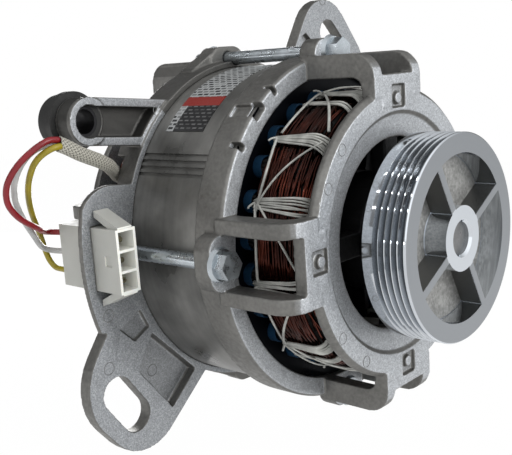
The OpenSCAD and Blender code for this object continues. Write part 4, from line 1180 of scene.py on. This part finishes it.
def lacing(name, node_names, stack_y, way, near, far):
    """All ties of one end and the runs between them, as one piece."""
    cords = []
    half = CORD / 2
    top = BUNDLE_OUT + half
    turn = 360 / TIES
    section = circle(half, 8, 1.15, 0.8)
    for tie in range(TIES):
        angle = FIRST_TIE + tie * turn + random.normal(0, 1.2)
        rounds = [(angle, k - (TIE_ROUNDS - 1) / 2) for k in range(TIE_ROUNDS)]
        if tie % 2:
            rounds += [(angle + turn * SECOND_TIE_AT, k - 1) for k in range(SECOND_TIE_ROUNDS)]
        for place, row in rounds:
            start = near + random.normal(0, 0.7)
            outer = top - 0.3 + 0.1 * (row % 2)
            outline = loop_outline(BUNDLE_IN - 0.6, outer, start, far + half - 0.5, 4.4)
            side = row * CORD * ROUND_PITCH
            loop = tied_loop(outline, place, side, random.normal(0, 0.5), stack_y, way)
            cords.append(swept(loop, section, up=(0.2, 0.1, 1)))
        knot = (top + 0.3, near + 0.8)
        rest = (top + 0.3, near + 1.6)
        crest = (BUNDLE_OUT - 1.2, far - 0.2)
        lines = [cord_run(knot, rest, angle, turn, (0.2, 1.4), stack_y, way)]
        if tie % 2:
            lines.append(cord_run(rest, crest, angle, turn * 0.9, (0.9, 2.2), stack_y, way))
        else:
            lines.append(cord_run(crest, knot, angle, turn, (1.1, -1.2), stack_y, way))
        cords.extend(swept(line, section, up=(0.2, 0.1, 1)) for line in lines)
        tail = cord_run(knot, (top + 1.6, near - 0.8), angle, 2.6, (0.4, 0), stack_y, way)
        cords.append(swept(tail, section, up=(0.2, 0.1, 1)))
    obj = piece(name, cords, tape, "housing")
    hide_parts(*node_names)
    print(name, "has", len(cords), "pieces of cord")


def lacing_cord(name, colour):
    f = finish(name, colour, 0, 0.55)
    tinted(f, noise(f, 2.5, 5), 0.55, 1.25)
    bump(f, noise(f, 0.3, 3), 0.05, 0.5)
    return f


tape = lacing_cord("lacing_tape", (0.45, 0.45, 0.42))
lacing("front_ties", ["front_lacing"], front_face, -1, LACING_FROM, front_reach + BUNDLE_PROUD)
lacing("rear_ties", ["rear_lacing"], rear_face, 1, LACING_FROM, rear_reach + BUNDLE_PROUD)

# %% [markdown]
# The label is a thin printed film with fields in a few flat colours: a ruled table, a red strip
# and a dark block. The finish draws them from the angle round the motor and the way along it, so
# that they bend with the film and stay sharp at any distance.

# %% Label
RED_FROM = 128.6
RED_TO = 133.2
PALE_FROM = 86.6


def ruled_table(f, page, ink, gap, angle, back):
    """Rows of short bars in two colours, for one field of the label."""
    table = f["tree"].nodes.new("ShaderNodeTexBrick")
    table.inputs["Color1"].default_value = (*page, 1)
    table.inputs["Color2"].default_value = (*ink, 1)
    table.inputs["Mortar"].default_value = (*page, 1)
    table.inputs["Scale"].default_value = 1
    table.inputs["Mortar Size"].default_value = gap
    table.inputs["Bias"].default_value = 0.35
    table.inputs["Brick Width"].default_value = 3
    table.inputs["Row Height"].default_value = 1.6
    f["tree"].links.new(joined(f, back, angle), table.inputs["Vector"])
    return table.outputs["Color"]


def printed_label(name):
    f = finish(name, (0.5, 0.5, 0.48), 0, 0.4)
    _, back, angle = round_the_axis(f)
    table = ruled_table(f, (0.38, 0.39, 0.39), (0.012, 0.012, 0.012), 0.36, angle, back)
    notes = ruled_table(f, (0.009, 0.009, 0.01), (0.14, 0.14, 0.14), 0.56, angle, back)
    red = between(f, angle, RED_FROM, RED_TO)
    dark = times(f, above(f, angle, RED_TO), below(f, back, PALE_FROM))
    page = mixed(f, red, table, (0.25, 0.022, 0.016))
    to(f, "Base Color", mixed(f, dark, page, notes))
    to(f, "Roughness", span(f, noise(f, 3, 3), 0.3, 0.5))
    bump(f, noise(f, 4, 2), 0.05, 0.25)
    return f


wear("rating_label", printed_label("label_film"))
print("label printed")

# %% [markdown]
# Ejector pins leave round marks on a casting, thin raised rings on the faces that look out of the
# mould. They are small, but without them the large flat faces look like sheet metal.

# %% Ejector marks
FLANGE_PLANE = 95.7
LUG_POCKET = 3.8
TROUGH_WALL_SET = 0.7
FLANGE_MARK_RADIUS = 2.2
RING_PLANE = 22.8
RING_MIDDLE = 46.5
RING_ANGLES = (141, 158, 222, 243, 318)
RING_MARK_RADIUS = 1.9
RIDGE_RADIUS = 0.16


def ejector_ring(centre, radius_mm):
    """A fine ring that lies on a face which looks forwards."""
    turn = np.linspace(0, 2 * np.pi, 29)
    line = np.stack([centre.x + radius_mm * MM * np.cos(turn), np.full_like(turn, centre.y),
                     centre.z + radius_mm * MM * np.sin(turn)], axis=1)
    return swept(line, circle(RIDGE_RADIUS, 6), closed_ends=False, up=(0, 1, 0))


def ejector_marks(name, places, radius_mm):
    obj = piece(name, [ejector_ring(at(*p), radius_mm) for p in places], casting, "housing")
    print(name, "at", len(places), "places")


def on_the_ring(angle):
    a = math.radians(angle)
    return RING_MIDDLE * math.cos(a), RING_PLANE, RING_MIDDLE * math.sin(a)


flange_places = [
    (-48.5, FLANGE_PLANE + LUG_POCKET, -53.1), (-71.3, FLANGE_PLANE, -28.4),
    (-71.5, FLANGE_PLANE, -47.1), (-46.9, FLANGE_PLANE + TROUGH_WALL_SET, 42.5),
    (47.5, FLANGE_PLANE, 91),
]
ejector_marks("flange_marks", flange_places, FLANGE_MARK_RADIUS)
ejector_marks("ring_marks", [on_the_ring(a) for a in RING_ANGLES], RING_MARK_RADIUS)
